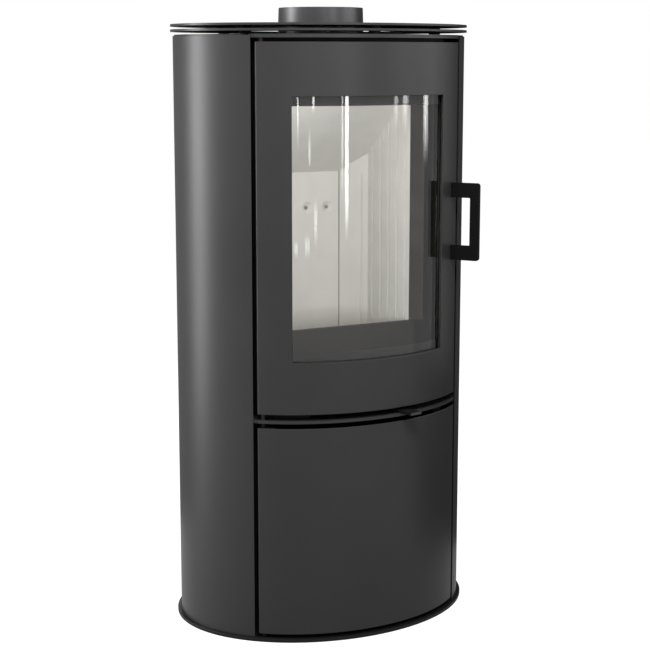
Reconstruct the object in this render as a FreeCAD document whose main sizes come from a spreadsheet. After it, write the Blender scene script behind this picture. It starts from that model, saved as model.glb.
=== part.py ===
"""Free-standing oval wood stove of painted steel plate.

The plan is an ellipse. The front carries two curved doors hung on pins at the left: a glazed
fire door above and a plain log-store door below. Two thin oval plates on round spacers float
over the body, and the flue collar rises through them. Inside are the steel firebox with its
ceramic lining, a grate over a sliding ash pan, and an air lever with its shutter.

Units are millimetres. +Z is up, the front faces -Y, and the origin is the centre of the base
plate's underside.
"""

import FreeCAD
import Part
import Sketcher
import os
import re
from FreeCAD import Rotation, Vector

doc = FreeCAD.newDocument("oval_wood_stove")

# Driving sizes

SIZES = [
    # Oval plan of the body and what overhangs it
    ("body_half_width", 267),
    ("body_half_depth", 212),
    ("casing_sheet", 2),
    ("casing_return", 13),
    ("base_overhang_side", 7),
    ("base_overhang_front", 4.5),
    ("base_thickness", 6),
    ("top_overhang_side", 4),
    ("top_overhang_front", 5),
    # Heights from the floor up
    ("base_gap", 6.8),
    ("lower_door_height", 365.2),
    ("gap_under_shelf", 8.7),
    ("shelf_thickness", 5),
    ("gap_over_shelf", 10.3),
    ("door_height", 621.3),
    ("gap_over_door", 6.7),
    ("rail_thickness", 6),
    ("casing_drop", 2),
    ("spacer_height", 5),
    ("top_sheet", 4),
    ("collar_rise", 29.3),
    # Clearance between faces that follow the same curve
    ("seam_gap", 0.3),
    ("running_clearance", 0.05),
    # Doors
    ("door_side_margin", 72.5),
    ("side_gap", 6.5),
    ("door_plate", 4),
    ("hinge_zone", 26.6),
    ("frame_bar", 10),
    ("glass_gap", 2),
    ("glass_lap", 11),
    ("glass_seat", 2),
    ("glass_sheet", 4),
    ("retainer_sheet", 2),
    ("retainer_rise", 28.5),
    ("retainer_lap", 10),
    ("frame_depth", 16),
    ("frame_foot", 6),
    ("rope_depth", 7),
    ("rope_width", 8),
    ("bottom_rail", 89.5),
    ("top_rail", 88.8),
    # Hinges
    ("hinge_edge_inset", 11.3),
    ("hinge_skin_inset", 13.5),
    ("hinge_shoulder_radius", 4),
    ("hinge_spigot_radius", 3),
    ("hinge_spigot_length", 22),
    ("hinge_sleeve_radius", 6.4),
    ("hinge_sleeve_length", 30),
    ("hinge_end_clearance", 0.2),
    ("hinge_lug_back", 2),
    # Handle
    ("handle_frame_gap", 8),
    ("handle_low", 244),
    ("handle_height", 136),
    ("handle_reach", 53),
    ("handle_grip", 17),
    ("handle_arm", 26),
    ("handle_thickness", 8),
    ("handle_corner", 5),
    ("handle_root", 30),
    ("screw_radius", 2.5),
    ("screw_head_radius", 4),
    ("screw_head_height", 2.5),
    ("screw_depth", 16),
    ("screw_clearance", 0.2),
    # Roller catch
    ("latch_level", 312),
    ("tongue_edge_inset", 4.5),
    ("tongue_sheet", 3),
    ("tongue_reach", 35.7),
    ("tongue_height", 14),
    ("roller_radius", 7),
    ("roller_height", 16),
    ("roller_setback", 7),
    ("roller_clearance", 1.2),
    ("roller_end_clearance", 0.4),
    ("latch_pin_radius", 3),
    ("bracket_sheet", 2),
    ("bracket_margin", 3),
    # Log-store catch
    ("catch_edge_inset", 24),
    ("catch_width", 16),
    ("catch_depth", 14),
    ("catch_drop", 20),
    ("catch_plate_height", 16),
    # Firebox of steel plate
    ("frame_margin", 10.5),
    ("frame_sheet", 4),
    ("wall_sheet", 4),
    ("floor_sheet", 4),
    ("rear_clearance", 38),
    ("corner_depth", 63.7),
    ("corner_clearance", 12.4),
    ("sill_drop", 21.5),
    ("roof_drop", 30),
    ("collar_radius", 75),
    ("collar_wall", 3),
    ("collar_taper", 1),
    ("collar_clearance", 2),
    # Lining
    ("liner_thickness", 30),
    ("hearth_thickness", 12),
    ("mouth_front", 60),
    ("mouth_drop", 21.5),
    ("baffle_front", 23),
    ("baffle_angle", 38.2),
    ("baffle_thickness", 25),
    ("baffle_clearance", 1),
    ("flute_margin", 17.5),
    ("flute_width", 4),
    ("flute_depth", 3),
    ("corner_flute_inset", 12),
    ("corner_flute_drop", 131),
    ("jet_level", 243),
    ("jet_edge_margin", 24.1),
    ("jet_radius", 4),
    ("jet_dish_radius", 11.5),
    ("jet_dish_depth", 5),
    ("wash_sheet", 3),
    ("wash_drop", 4.5),
    ("guard_rise", 51),
    ("guard_depth", 10),
    # Grate and ash drawer
    ("grate_side_margin", 60),
    ("grate_front", 40),
    ("grate_back_margin", 40),
    ("grate_clearance", 2),
    ("grate_lip", 12),
    ("grate_rim", 14),
    ("grate_slot", 9),
    ("grate_bar", 9),
    ("ash_floor_rise", 26.3),
    ("ash_sheet", 4),
    ("ash_rail_inset", 56),
    ("ash_rail_end_gap", 20),
    ("pan_end_gap", 10),
    ("pan_sheet", 2),
    ("pan_side_clearance", 1),
    ("pan_headroom", 6),
    ("pan_lip", 12),
    # Air lever and shutter
    ("lever_pivot_back", 60),
    ("lever_width", 24),
    ("lever_sheet", 4),
    ("lever_tab", 28),
    ("lever_rest_angle", 12.3),
    ("lever_swing", 17.5),
    ("lever_slot_clearance", 4),
    ("lever_play", 0.3),
    ("lever_boss_radius", 16),
    ("pivot_radius", 5),
    ("pivot_head_radius", 9),
    ("pivot_head_height", 4),
    ("shutter_arm", 70),
    ("shutter_radius", 28),
    ("air_hole_radius", 22),
    # Log store
    ("store_sheet", 4),
    ("store_front_setback", 48.3),
    ("store_rear_clearance", 92),
    # Rear cover
    ("rear_cover_half", 148),
    ("rear_seam", 2),
    ("rear_post_lap", 16),
    ("rear_post_sheet", 3),
    ("rear_screw_inset", 8),
    ("rear_screw_end", 70),
    ("vent_margin", 58),
    ("vent_height", 6),
    ("vent_pitch", 14),
    ("vent_low", 60),
    ("vent_drop", 184),
    # Oval top plates
    ("post_radius", 10),
    ("front_post_inset", 18),
    ("side_post_inset", 83),
    ("side_post_setback", 130),
    ("rear_post_inset", 149),
    ("rear_post_setback", 59),
    ("ring_band_side", 77),
    ("ring_band_front", 42),
    ("outlet_width", 32),
    ("outlet_edge_inset", 39),
    ("outlet_front", 50),
    ("outlet_back", 70),
]
VENT_ROWS = 8
FLUTES = 5
JETS = (-2, -1, 0, 1, 2)

sheet = doc.addObject("Spreadsheet::Sheet", "sizes")
for row, (alias, number) in enumerate(SIZES, start=1):
    sheet.set(f"A{row}", alias)
    sheet.set(f"B{row}", str(number))
    sheet.setAlias(f"B{row}", alias)

# Levels and offsets that follow from the driving sizes

DERIVED = [
    ("lower_door_bottom", "base_thickness + base_gap"),
    ("lower_door_top", "lower_door_bottom + lower_door_height"),
    ("shelf_bottom", "lower_door_top + gap_under_shelf"),
    ("shelf_top", "shelf_bottom + shelf_thickness"),
    ("door_bottom", "shelf_top + gap_over_shelf"),
    ("door_top", "door_bottom + door_height"),
    ("rail_bottom", "door_top + gap_over_door"),
    ("rail_top", "rail_bottom + rail_thickness"),
    ("casing_top", "rail_top - casing_drop"),
    ("ring_bottom", "rail_top + spacer_height"),
    ("ring_top", "ring_bottom + top_sheet"),
    ("cap_bottom", "ring_top + spacer_height"),
    ("cap_top", "cap_bottom + top_sheet"),
    ("collar_top", "cap_top + collar_rise"),
    ("door_half_width", "body_half_width - door_side_margin"),
    ("casing_edge", "door_half_width + side_gap"),
    ("casing_inner", "casing_sheet + seam_gap"),
    ("casing_edge_front", "body_half_depth * sqrt(1 - (casing_edge / body_half_width)^2)"),
    ("fold_end", "casing_edge_front - casing_return"),
    ("frame_outer", "door_half_width - hinge_zone"),
    ("frame_inner", "frame_outer - frame_bar"),
    ("glass_half_width", "frame_inner - glass_gap"),
    ("window_half_width", "glass_half_width - glass_lap"),
    ("window_bottom", "door_bottom + bottom_rail"),
    ("window_top", "door_top - top_rail"),
    ("glass_bottom", "window_bottom - glass_lap"),
    ("glass_top", "window_top + glass_lap"),
    ("frame_sill", "glass_bottom - glass_gap"),
    ("frame_head", "glass_top + glass_gap"),
    ("frame_bottom", "door_bottom + frame_foot"),
    ("frame_top", "frame_head + frame_bar"),
    ("tape_inset", "door_plate + seam_gap"),
    ("glass_inset", "door_plate + glass_seat"),
    ("retainer_inset", "glass_inset + glass_sheet + seam_gap"),
    ("frame_inset", "door_plate + seam_gap"),
    ("frame_back", "frame_inset + frame_depth"),
    ("rope_inset", "frame_back + seam_gap"),
    ("seat_inset", "rope_inset + rope_depth + seam_gap"),
    ("throat_inset", "seat_inset + frame_sheet + seam_gap"),
    ("hinge_left", "door_half_width - hinge_edge_inset"),
    ("hinge_skin", "body_half_depth * sqrt(1 - (hinge_left / body_half_width)^2)"),
    ("hinge_front", "hinge_skin - hinge_skin_inset"),
    ("catch_front", "hinge_front"),
    ("handle_x", "frame_outer + handle_frame_gap"),
    ("handle_bottom", "door_bottom + handle_low"),
    ("latch_z", "door_bottom + latch_level"),
    ("tongue_right", "door_half_width - tongue_edge_inset"),
    ("tongue_end", "hinge_front - tongue_reach"),
    ("roller_x", "tongue_right + roller_clearance + roller_radius"),
    ("roller_front", "tongue_end + roller_setback"),
    ("bracket_gap", "roller_height / 2 + roller_end_clearance"),
    ("shell_half", "door_half_width - frame_margin"),
    ("shell_inner", "shell_half - wall_sheet"),
    ("liner_face", "shell_inner - liner_thickness"),
    ("shell_back_outer", "body_half_depth - rear_clearance"),
    ("shell_back", "shell_back_outer - wall_sheet"),
    ("liner_back", "shell_back - liner_thickness"),
    ("corner_side", "shell_back - corner_depth"),
    ("corner_reach", "shell_back_outer / (body_half_depth - corner_clearance)"),
    ("corner_back", "(body_half_width - corner_clearance) * sqrt(1 - corner_reach^2)"),
    ("corner_run", "shell_inner - corner_back"),
    ("corner_length", "sqrt(corner_run^2 + corner_depth^2)"),
    ("side_mitre", "corner_run / (corner_length + corner_depth)"),
    ("back_mitre", "corner_depth / (corner_length + corner_run)"),
    ("liner_corner_side", "corner_side - liner_thickness * side_mitre"),
    ("liner_corner_back", "corner_back - liner_thickness * back_mitre"),
    ("flute_pitch", f"(mouth_front + liner_corner_side - 2 * flute_margin) / {FLUTES - 1}"),
    ("jet_pitch", f"(liner_corner_back - jet_edge_margin) / {max(JETS)}"),
    ("grate_half_width", "liner_face - grate_side_margin"),
    ("grate_back", "liner_back - grate_back_margin"),
    ("grate_run", "2 * grate_half_width - 2 * grate_rim - grate_slot"),
    ("grate_bars", "max(1; round(grate_run / (grate_slot + grate_bar)))"),
    ("grate_pitch", "grate_run / grate_bars"),
    ("floor_bottom", "window_bottom - sill_drop"),
    ("floor_top", "floor_bottom + floor_sheet"),
    ("hearth_top", "floor_top + hearth_thickness"),
    ("mouth_top", "window_top - mouth_drop"),
    ("roof_bottom", "rail_bottom - roof_drop"),
    ("ash_floor_bottom", "shelf_top + ash_floor_rise"),
    ("ash_floor_top", "ash_floor_bottom + ash_sheet"),
    ("ash_rail_half", "shell_inner - ash_rail_inset"),
    ("ash_rail_inner", "ash_rail_half - ash_sheet"),
    ("ash_rail_back", "shell_back - ash_rail_end_gap"),
    ("pan_half", "ash_rail_inner - pan_side_clearance"),
    ("pan_front", "mouth_front + guard_depth"),
    ("pan_back", "ash_rail_back - pan_end_gap"),
    ("pan_bottom", "ash_floor_top + seam_gap"),
    ("pan_top", "floor_bottom - pan_headroom"),
    ("lever_bottom", "shelf_top + lever_play"),
    ("lever_top", "lever_bottom + lever_sheet"),
    ("lever_reach", "lever_pivot_back + body_half_depth + lever_tab"),
    ("lever_slot_half", "lever_reach * sin(lever_swing * 1 deg) + lever_width / 2"),
    ("shell_skin", "body_half_depth * sqrt(1 - (shell_half / body_half_width)^2)"),
    ("store_front", "shell_skin - store_front_setback"),
    ("store_back", "body_half_depth - store_rear_clearance"),
    ("rear_edge", "rear_cover_half + rear_seam"),
    ("vent_high", "casing_top - vent_drop"),
    ("vent_half_width", "rear_cover_half - vent_margin"),
    ("outlet_outer", "body_half_width - outlet_edge_inset"),
    ("outlet_inner", "outlet_outer - outlet_width"),
]

derived = doc.addObject("App::VarSet", "derived")
OWNER = {alias: "sizes." for alias, number in SIZES}
OWNER.update({name: "derived." for name, formula in DERIVED})


def named(formula):
    """The formula with each size's name pointed at the object that holds it."""
    return re.sub(r"[a-z][a-z_]*", lambda word: OWNER.get(word.group(), "") + word.group(), formula)


for name, formula in DERIVED:
    derived.addProperty("App::PropertyFloat", name)
    derived.setExpression(name, named(formula))
doc.recompute()

PIECES = []


def piece(solid):
    """Put a finished sub-part on the list of pieces to write."""
    PIECES.append(solid)
    return solid


# Part helpers

def move(solid, x="0", y="0", z="0"):
    """Bind a solid's place to formulas."""
    for axis, formula in (("x", x), ("y", y), ("z", z)):
        solid.setExpression(f"Placement.Base.{axis}", named(formula))
    return solid


def turn_about(solid, axis, angle, sign=1):
    """Bind a solid's turn about one axis to a formula for the angle."""
    for direction in "xyz":
        part_of_axis = sign if direction == axis else 0
        solid.setExpression(f"Placement.Rotation.Axis.{direction}", str(part_of_axis))
    solid.setExpression("Placement.Rotation.Angle", named(angle))
    return solid


def block(name, across, deep, tall):
    """A box between a low and a high limit on each axis."""
    solid = doc.addObject("Part::Box", name)
    for side, (low, high) in (("Length", across), ("Width", deep), ("Height", tall)):
        solid.setExpression(side, named(f"({high}) - ({low})"))
    return move(solid, across[0], deep[0], tall[0])


def cylinder(name, radius, tall, x="0", y="0"):
    """An upright cylinder between two levels."""
    low, high = tall
    solid = doc.addObject("Part::Cylinder", name)
    solid.setExpression("Radius", named(radius))
    solid.setExpression("Height", named(f"({high}) - ({low})"))
    return move(solid, x, y, low)


def cut(name, base, tool):
    """One solid less another."""
    solid = doc.addObject("Part::Cut", name)
    solid.Base = base
    solid.Tool = tool
    return solid


def common(name, first, second):
    """What two solids share."""
    solid = doc.addObject("Part::Common", name)
    solid.Base = first
    solid.Tool = second
    return solid


def fuse(name, solids):
    """Several solids joined into one."""
    solid = doc.addObject("Part::MultiFuse", name)
    solid.Shapes = solids
    solid.Refine = True
    return solid


def group(name, solids):
    """Separate like solids kept as one sub-part."""
    solid = doc.addObject("Part::Compound", name)
    solid.Links = solids
    return solid


def oval(name, half_width, half_depth, tall):
    """An upright prism on an ellipse."""
    low, high = tall
    outline = doc.addObject("Part::Ellipse", name + "_outline")
    outline.setExpression("MajorRadius", named(f"max({half_width}; {half_depth})"))
    outline.setExpression("MinorRadius", named(f"min({half_width}; {half_depth})"))
    move(outline, z=low)
    turn_about(outline, "z", f"({half_width}) >= ({half_depth}) ? 0 deg : 90 deg")
    prism = doc.addObject("Part::Extrusion", name)
    prism.Base = outline
    prism.DirMode = "Custom"
    prism.Dir = Vector(0, 0, 1)
    prism.Solid = True
    prism.setExpression("LengthFwd", named(f"({high}) - ({low})"))
    return prism


def inset_oval(name, inset, tall):
    """The body's oval drawn in by an inset."""
    return oval(name, f"body_half_width - ({inset})", f"body_half_depth - ({inset})", tall)


FRONT = ("-body_half_depth", "0")
REAR = ("0", "body_half_depth")


def band(name, inset, thickness, across, tall, deep=FRONT):
    """A curved sheet that follows the body's oval at an inset, between two sides and two levels."""
    outer = inset_oval(name + "_outer", inset, tall)
    inner = inset_oval(name + "_inner", f"{inset} + {thickness}", tall)
    window = block(name + "_window", across, deep, tall)
    ring = cut(name + "_ring", outer, inner)
    return common(name, ring, window)


def both_ways(half):
    """The two limits of a width that is even about the middle."""
    return (f"-({half})", half)


def stand_on_oval(solid, x, side, z):
    """Set a solid on the body's skin, its own X axis along the skin's outward normal."""
    y = f"{side} * body_half_depth * sqrt(1 - (({x}) / body_half_width)^2)"
    move(solid, x, y, z)
    return turn_about(solid, "z", f"atan2(({y}) / body_half_depth^2; ({x}) / body_half_width^2)")


def lie_along_x(solid, start, z="0"):
    """Turn an upright cylinder on to the X axis from a starting point."""
    solid.Placement.Rotation = Rotation(Vector(0, 1, 0), 90)
    solid.setExpression("Placement.Base.x", named(start))
    solid.setExpression("Placement.Base.y", None)
    solid.setExpression("Placement.Base.z", named(z))
    return solid


# Part design helpers

def sketch_in(body, name, role):
    """An empty sketch on one of a body's own origin planes."""
    plane = [feature for feature in body.Origin.OriginFeatures if feature.Role == role][0]
    drawing = body.newObject("Sketcher::SketchObject", name)
    drawing.AttachmentSupport = [(plane, "")]
    drawing.MapMode = "FlatFace"
    return drawing


def reading(formula):
    """The present value of a formula."""
    value = derived.evalExpression(named(formula))
    return float(getattr(value, "Value", value))


def hold_point(drawing, geometry, position, x, y):
    """Bind one point of a sketch to formulas."""
    for kind, formula in (("DistanceX", x), ("DistanceY", y)):
        constraint = Sketcher.Constraint(kind, -1, 1, geometry, position, reading(formula))
        index = drawing.addConstraint(constraint)
        drawing.setExpression(f"Constraints[{index}]", named(formula))


def outline(drawing, corners):
    """A closed outline of straight edges through corners given by formulas."""
    spots = [Vector(reading(x), reading(y), 0) for x, y in corners]
    first = drawing.GeometryCount
    count = len(corners)
    for step in range(count):
        drawing.addGeometry(Part.LineSegment(spots[step], spots[(step + 1) % count]), False)
    for step in range(count):
        following = first + (step + 1) % count
        drawing.addConstraint(Sketcher.Constraint("Coincident", first + step, 2, following, 1))
    for step, (x, y) in enumerate(corners):
        hold_point(drawing, first + step, 1, x, y)


def circle(drawing, x, y, radius):
    """A circle whose centre and radius are given by formulas."""
    centre = Vector(reading(x), reading(y), 0)
    index = drawing.addGeometry(Part.Circle(centre, Vector(0, 0, 1), reading(radius)), False)
    hold_point(drawing, index, 3, x, y)
    size = drawing.addConstraint(Sketcher.Constraint("Radius", index, reading(radius)))
    drawing.setExpression(f"Constraints[{size}]", named(radius))


def rectangle(across, deep):
    """The corners of a rectangle between two limits each way."""
    return [(across[0], deep[0]), (across[1], deep[0]), (across[1], deep[1]), (across[0], deep[1])]


def pad(body, drawing, length):
    """Pad a sketch by a length."""
    feature = body.newObject("PartDesign::Pad", drawing.Name + "_pad")
    feature.Profile = drawing
    feature.setExpression("Length", named(length))
    return feature


def pocket_through(body, drawing):
    """Cut a sketch through the whole body, both ways."""
    feature = body.newObject("PartDesign::Pocket", drawing.Name + "_pocket")
    feature.Profile = drawing
    feature.Type = "ThroughAll"
    feature.SideType = "Symmetric"
    return feature


def repeat(body, feature, drawing, axis, count, pitch):
    """Repeat a feature in a row along one axis of its sketch."""
    row = body.newObject("PartDesign::LinearPattern", feature.Name + "_row")
    row.Originals = [feature]
    row.Direction = (drawing, [axis])
    row.Occurrences = count
    row.setExpression("Length", named(f"({pitch}) * {count - 1}"))
    body.Tip = row
    return row


def plan_plate(name, outlines, tall, circles=()):
    """A plate padded up from closed outlines and round holes drawn in plan."""
    low, high = tall
    body = doc.addObject("PartDesign::Body", name)
    drawing = sketch_in(body, name + "_plan", "XY_Plane")
    for corners in outlines:
        outline(drawing, corners)
    for x, y, radius in circles:
        circle(drawing, x, y, radius)
    pad(body, drawing, f"({high}) - ({low})")
    return move(body, z=low)


def turned(name, profile):
    """A piece of revolution about its own Z axis, from a profile of radius and height."""
    body = doc.addObject("PartDesign::Body", name)
    drawing = sketch_in(body, name + "_profile", "XZ_Plane")
    outline(drawing, profile)
    feature = body.newObject("PartDesign::Revolution", name + "_turn")
    feature.Profile = drawing
    feature.ReferenceAxis = (drawing, ["V_Axis"])
    feature.Angle = 360
    return body


# Base plate and curved side casings with a folded return along each front edge

piece(oval("base_plate", "body_half_width + base_overhang_side", "body_half_depth + base_overhang_front",
           ("0", "base_thickness")))


def side_casing(name, sign):
    """One rolled side sheet, from beside the doors round to the rear cover."""
    tall = ("base_thickness", "casing_top")
    outer = inset_oval(name + "_outer", "0", tall)
    inner = inset_oval(name + "_inner", "casing_sheet", tall)
    ring = cut(name + "_ring", outer, inner)
    near, far = ("casing_edge", "body_half_width")
    rear_near = "rear_edge"
    if sign < 0:
        front_limits = (f"-{far}", f"-{near}")
        rear_limits = (f"-{far}", f"-{rear_near}")
        fold_limits = (f"-{near} - casing_sheet", f"-{near}")
    else:
        front_limits = (near, far)
        rear_limits = (rear_near, far)
        fold_limits = (near, f"{near} + casing_sheet")
    window = fuse(name + "_window", [block(name + "_front", front_limits, FRONT, tall),
                                     block(name + "_rear", rear_limits, REAR, tall)])
    sheet_part = common(name + "_sheet", ring, window)
    fold_box = block(name + "_fold_box", fold_limits, ("-body_half_depth", "-fold_end"), tall)
    fold_oval = inset_oval(name + "_fold_oval", "casing_sheet / 2", tall)
    fold = common(name + "_fold", fold_box, fold_oval)
    return piece(fuse(name, [sheet_part, fold]))


side_casing("side_casing_left", -1)
side_casing("side_casing_right", 1)

# Rear posts behind the seams, and the screwed rear cover with its air vents

post_tall = ("base_thickness", "rail_bottom")
rear_screw_x = "rear_cover_half - rear_screw_inset"
rear_screw_levels = ("base_thickness + rear_screw_end", "(base_thickness + casing_top) / 2",
                     "casing_top - rear_screw_end")


def rear_screw(name, x, z):
    """A pan-head screw through the cover into the post behind it, set along the skin's normal."""
    shank = lie_along_x(cylinder(name + "_shank", "screw_radius", ("0", "screw_depth / 2")),
                        "-screw_depth / 2")
    head = lie_along_x(cylinder(name + "_head", "screw_head_radius", ("0", "screw_head_height")),
                       "seam_gap")
    neck = lie_along_x(cylinder(name + "_neck", "screw_radius", ("0", "seam_gap")), "0")
    return stand_on_oval(fuse(name, [shank, neck, head]), x, 1, z)


def rear_screw_hole(name, x, z):
    """The square punched hole for a rear screw."""
    half = "screw_radius + screw_clearance"
    punch = block(name + "_punch", both_ways("screw_depth"), both_ways(half), both_ways(half))
    return stand_on_oval(group(name, [punch]), x, 1, z)


rear_screws = []
rear_holes = []
for side_number, sign in enumerate(("-", "")):
    for level_number, level in enumerate(rear_screw_levels):
        tag = f"{side_number}_{level_number}"
        rear_screws.append(rear_screw(f"rear_screw_{tag}", f"{sign}({rear_screw_x})", level))
        rear_holes.append(rear_screw_hole(f"rear_hole_{tag}", f"{sign}({rear_screw_x})", level))
rear_hole_set = group("rear_hole_set", rear_holes)


def rear_strip(name, sign, margin, tall):
    """The curved strip behind one rear seam, grown all round by a margin."""
    near = f"{sign}(rear_edge - rear_post_lap - {margin})"
    far = f"{sign}(rear_edge + rear_post_lap + {margin})"
    limits = (far, near) if sign else (near, far)
    return band(name, f"casing_inner - {margin}", f"rear_post_sheet + 2 * {margin}", limits, tall, REAR)


posts = [cut(f"rear_post_{number}", rear_strip(f"rear_post_strip_{number}", sign, "0", post_tall),
             rear_hole_set)
         for number, sign in enumerate(("-", ""))]
piece(group("rear_posts", posts))

cover_sheet = band("rear_cover_sheet", "0", "casing_sheet", both_ways("rear_cover_half"),
                   ("base_thickness", "casing_top"), REAR)
vents = []
for field, start in (("low", "vent_low"), ("high", "vent_high")):
    for row in range(VENT_ROWS):
        bottom = f"{start} + {row} * vent_pitch"
        vents.append(block(f"vent_{field}_{row}", both_ways("vent_half_width"), REAR,
                           (bottom, f"{bottom} + vent_height")))
vented = cut("rear_cover_vented", cover_sheet, group("vent_set", vents))
piece(cut("rear_cover", vented, rear_hole_set))
piece(group("rear_cover_screws", rear_screws))


# Body top plate and divider shelf, both flush with the skin between the doors' side gaps

def deck(name, tall, tools):
    """An oval deck inside the casings, notched for their folds, whose front edge shows between the doors."""
    inside = inset_oval(name + "_inside", "casing_inner", tall)
    lip_oval = inset_oval(name + "_lip_oval", "0", tall)
    lip = common(name + "_lip", lip_oval, block(name + "_lip_box", both_ways("door_half_width"), FRONT, tall))
    whole = fuse(name + "_whole", [inside, lip])
    notch_near = "casing_edge - seam_gap"
    notch_deep = ("-body_half_depth", "-fold_end + seam_gap")
    notches = [block(name + "_notch_right", (notch_near, "body_half_width"), notch_deep, tall),
               block(name + "_notch_left", ("-body_half_width", f"-({notch_near})"), notch_deep, tall)]
    return piece(cut(name, whole, group(name + "_openings", notches + tools)))


rail_tall = ("rail_bottom", "rail_top")
flue_hole = cylinder("body_top_flue_hole", "collar_radius + collar_clearance", rail_tall)
outlet_deep = ("-outlet_front", "outlet_back")
outlets = [block("outlet_right", ("outlet_inner", "outlet_outer"), outlet_deep, rail_tall),
           block("outlet_left", ("-outlet_outer", "-outlet_inner"), outlet_deep, rail_tall)]
deck("body_top_plate", rail_tall, [flue_hole] + outlets)

shelf_tall = ("shelf_bottom", "shelf_top")
shutter_y = "lever_pivot_back - shutter_arm"
air_hole = cylinder("shelf_air_hole", "air_hole_radius", shelf_tall, "0", shutter_y)
post_slots = [rear_strip(f"shelf_post_slot_{number}", sign, "seam_gap", shelf_tall)
              for number, sign in enumerate(("-", ""))]
deck("divider_shelf", shelf_tall, [air_hole] + post_slots)

# Floating oval ring and cap on round spacers

post_spots = [
    ("0", "-(body_half_depth - front_post_inset)"),
    ("-(body_half_width - side_post_inset)", "-(body_half_depth - side_post_setback)"),
    ("body_half_width - side_post_inset", "-(body_half_depth - side_post_setback)"),
    ("-(body_half_width - rear_post_inset)", "body_half_depth - rear_post_setback"),
    ("body_half_width - rear_post_inset", "body_half_depth - rear_post_setback"),
]


def spacers(name, tall):
    """One set of round spacers between two plates."""
    return piece(group(name, [cylinder(f"{name}_{number}", "post_radius", tall, x, y)
                              for number, (x, y) in enumerate(post_spots)]))


spacers("ring_spacers", ("rail_top", "ring_bottom"))
cap_half_width = "body_half_width + top_overhang_side"
cap_half_depth = "body_half_depth + top_overhang_front"
ring_tall = ("ring_bottom", "ring_top")
ring_plate = oval("top_ring_plate", cap_half_width, cap_half_depth, ring_tall)
ring_opening = oval("top_ring_opening", "body_half_width - ring_band_side",
                    "body_half_depth - ring_band_front", ring_tall)
piece(cut("top_ring", ring_plate, ring_opening))
spacers("top_spacers", ("ring_top", "cap_bottom"))
cap_tall = ("cap_bottom", "cap_top")
cap_plate = oval("top_cap_plate", cap_half_width, cap_half_depth, cap_tall)
piece(cut("top_plate", cap_plate, cylinder("top_cap_hole", "collar_radius + collar_clearance", cap_tall)))

collar = turned("flue_collar", [
    ("collar_radius - collar_wall", "roof_bottom"),
    ("collar_radius", "roof_bottom"),
    ("collar_radius", "cap_top"),
    ("collar_radius - collar_taper", "collar_top"),
    ("collar_radius - collar_wall", "collar_top"),
])
piece(collar)

# Log store: side walls and back that carry the shelf

store_tall = ("base_thickness", "shelf_bottom")
store_deep = ("-store_front", "store_back")
piece(block("store_wall_left", ("-shell_half", "-shell_half + store_sheet"), store_deep, store_tall))
piece(block("store_wall_right", ("shell_half - store_sheet", "shell_half"), store_deep, store_tall))
piece(block("store_back", both_ways("shell_half - store_sheet"), ("store_back - store_sheet", "store_back"),
            store_tall))

# Firebox of welded plate: side walls, bent back, roof, floor and the curved front frame

wall_tall = ("shelf_top", "rail_bottom")
throat_tall = ("0", "cap_top")
throat = fuse("throat", [inset_oval("throat_front", "throat_inset", throat_tall),
                         block("throat_rear", both_ways("body_half_width"), REAR, throat_tall)])
piece(common("firebox_wall_left",
             block("firebox_wall_left_box", ("-shell_half", "-shell_inner"),
                   ("-body_half_depth", "corner_side"), wall_tall),
             throat))
piece(common("firebox_wall_right",
             block("firebox_wall_right_box", ("shell_inner", "shell_half"),
                   ("-body_half_depth", "corner_side"), wall_tall),
             throat))

bend_side = "corner_side + wall_sheet * side_mitre"
bend_back = "corner_back + wall_sheet * back_mitre"
piece(plan_plate("firebox_back", [[
    ("shell_inner", "corner_side"),
    ("shell_half", "corner_side"),
    ("shell_half", bend_side),
    (bend_back, "shell_back_outer"),
    (f"-({bend_back})", "shell_back_outer"),
    ("-shell_half", bend_side),
    ("-shell_half", "corner_side"),
    ("-shell_inner", "corner_side"),
    ("-corner_back", "shell_back"),
    ("corner_back", "shell_back"),
]], wall_tall))


def hearth_outline(inset):
    """The plan inside the firebox walls, drawn in by an inset."""
    half = f"shell_inner - ({inset})"
    back = f"shell_back - ({inset})"
    side_end = f"corner_side - ({inset}) * side_mitre"
    back_end = f"corner_back - ({inset}) * back_mitre"
    return [(half, "-body_half_depth"), (half, side_end), (back_end, back),
            (f"-({back_end})", back), (f"-({half})", side_end), (f"-({half})", "-body_half_depth")]


grate_across = both_ways("grate_half_width")
grate_deep = ("-grate_front", "grate_back")
ash_mouth = rectangle(both_ways("grate_half_width - grate_lip"),
                      ("-grate_front + grate_lip", "grate_back - grate_lip"))
floor_plate = plan_plate("firebox_floor_plate", [hearth_outline("0"), ash_mouth],
                         ("floor_bottom", "floor_top"))
piece(common("firebox_floor", floor_plate, throat))
roof_plate = plan_plate("firebox_roof_plate", [hearth_outline("0")],
                        ("roof_bottom", "roof_bottom + wall_sheet"),
                        [("0", "0", "collar_radius + seam_gap")])
piece(common("firebox_roof", roof_plate, throat))

seat_tall = ("shelf_top", "rail_bottom")
seat = band("front_frame_sheet", "seat_inset", "frame_sheet", both_ways("shell_half"), seat_tall)
seat_mouth = block("front_frame_mouth", both_ways("frame_inner"), FRONT, ("ash_floor_top", "frame_head"))
seat_slot = block("front_frame_slot", both_ways("lever_slot_half + lever_slot_clearance"), FRONT,
                  ("shelf_top", "lever_top + lever_slot_clearance / 2"))
piece(cut("front_frame", seat, group("front_frame_openings", [seat_mouth, seat_slot])))

# Ceramic lining: fluted sides, mitred corners, back with air jets, hearth, and the sloped baffle

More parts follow.
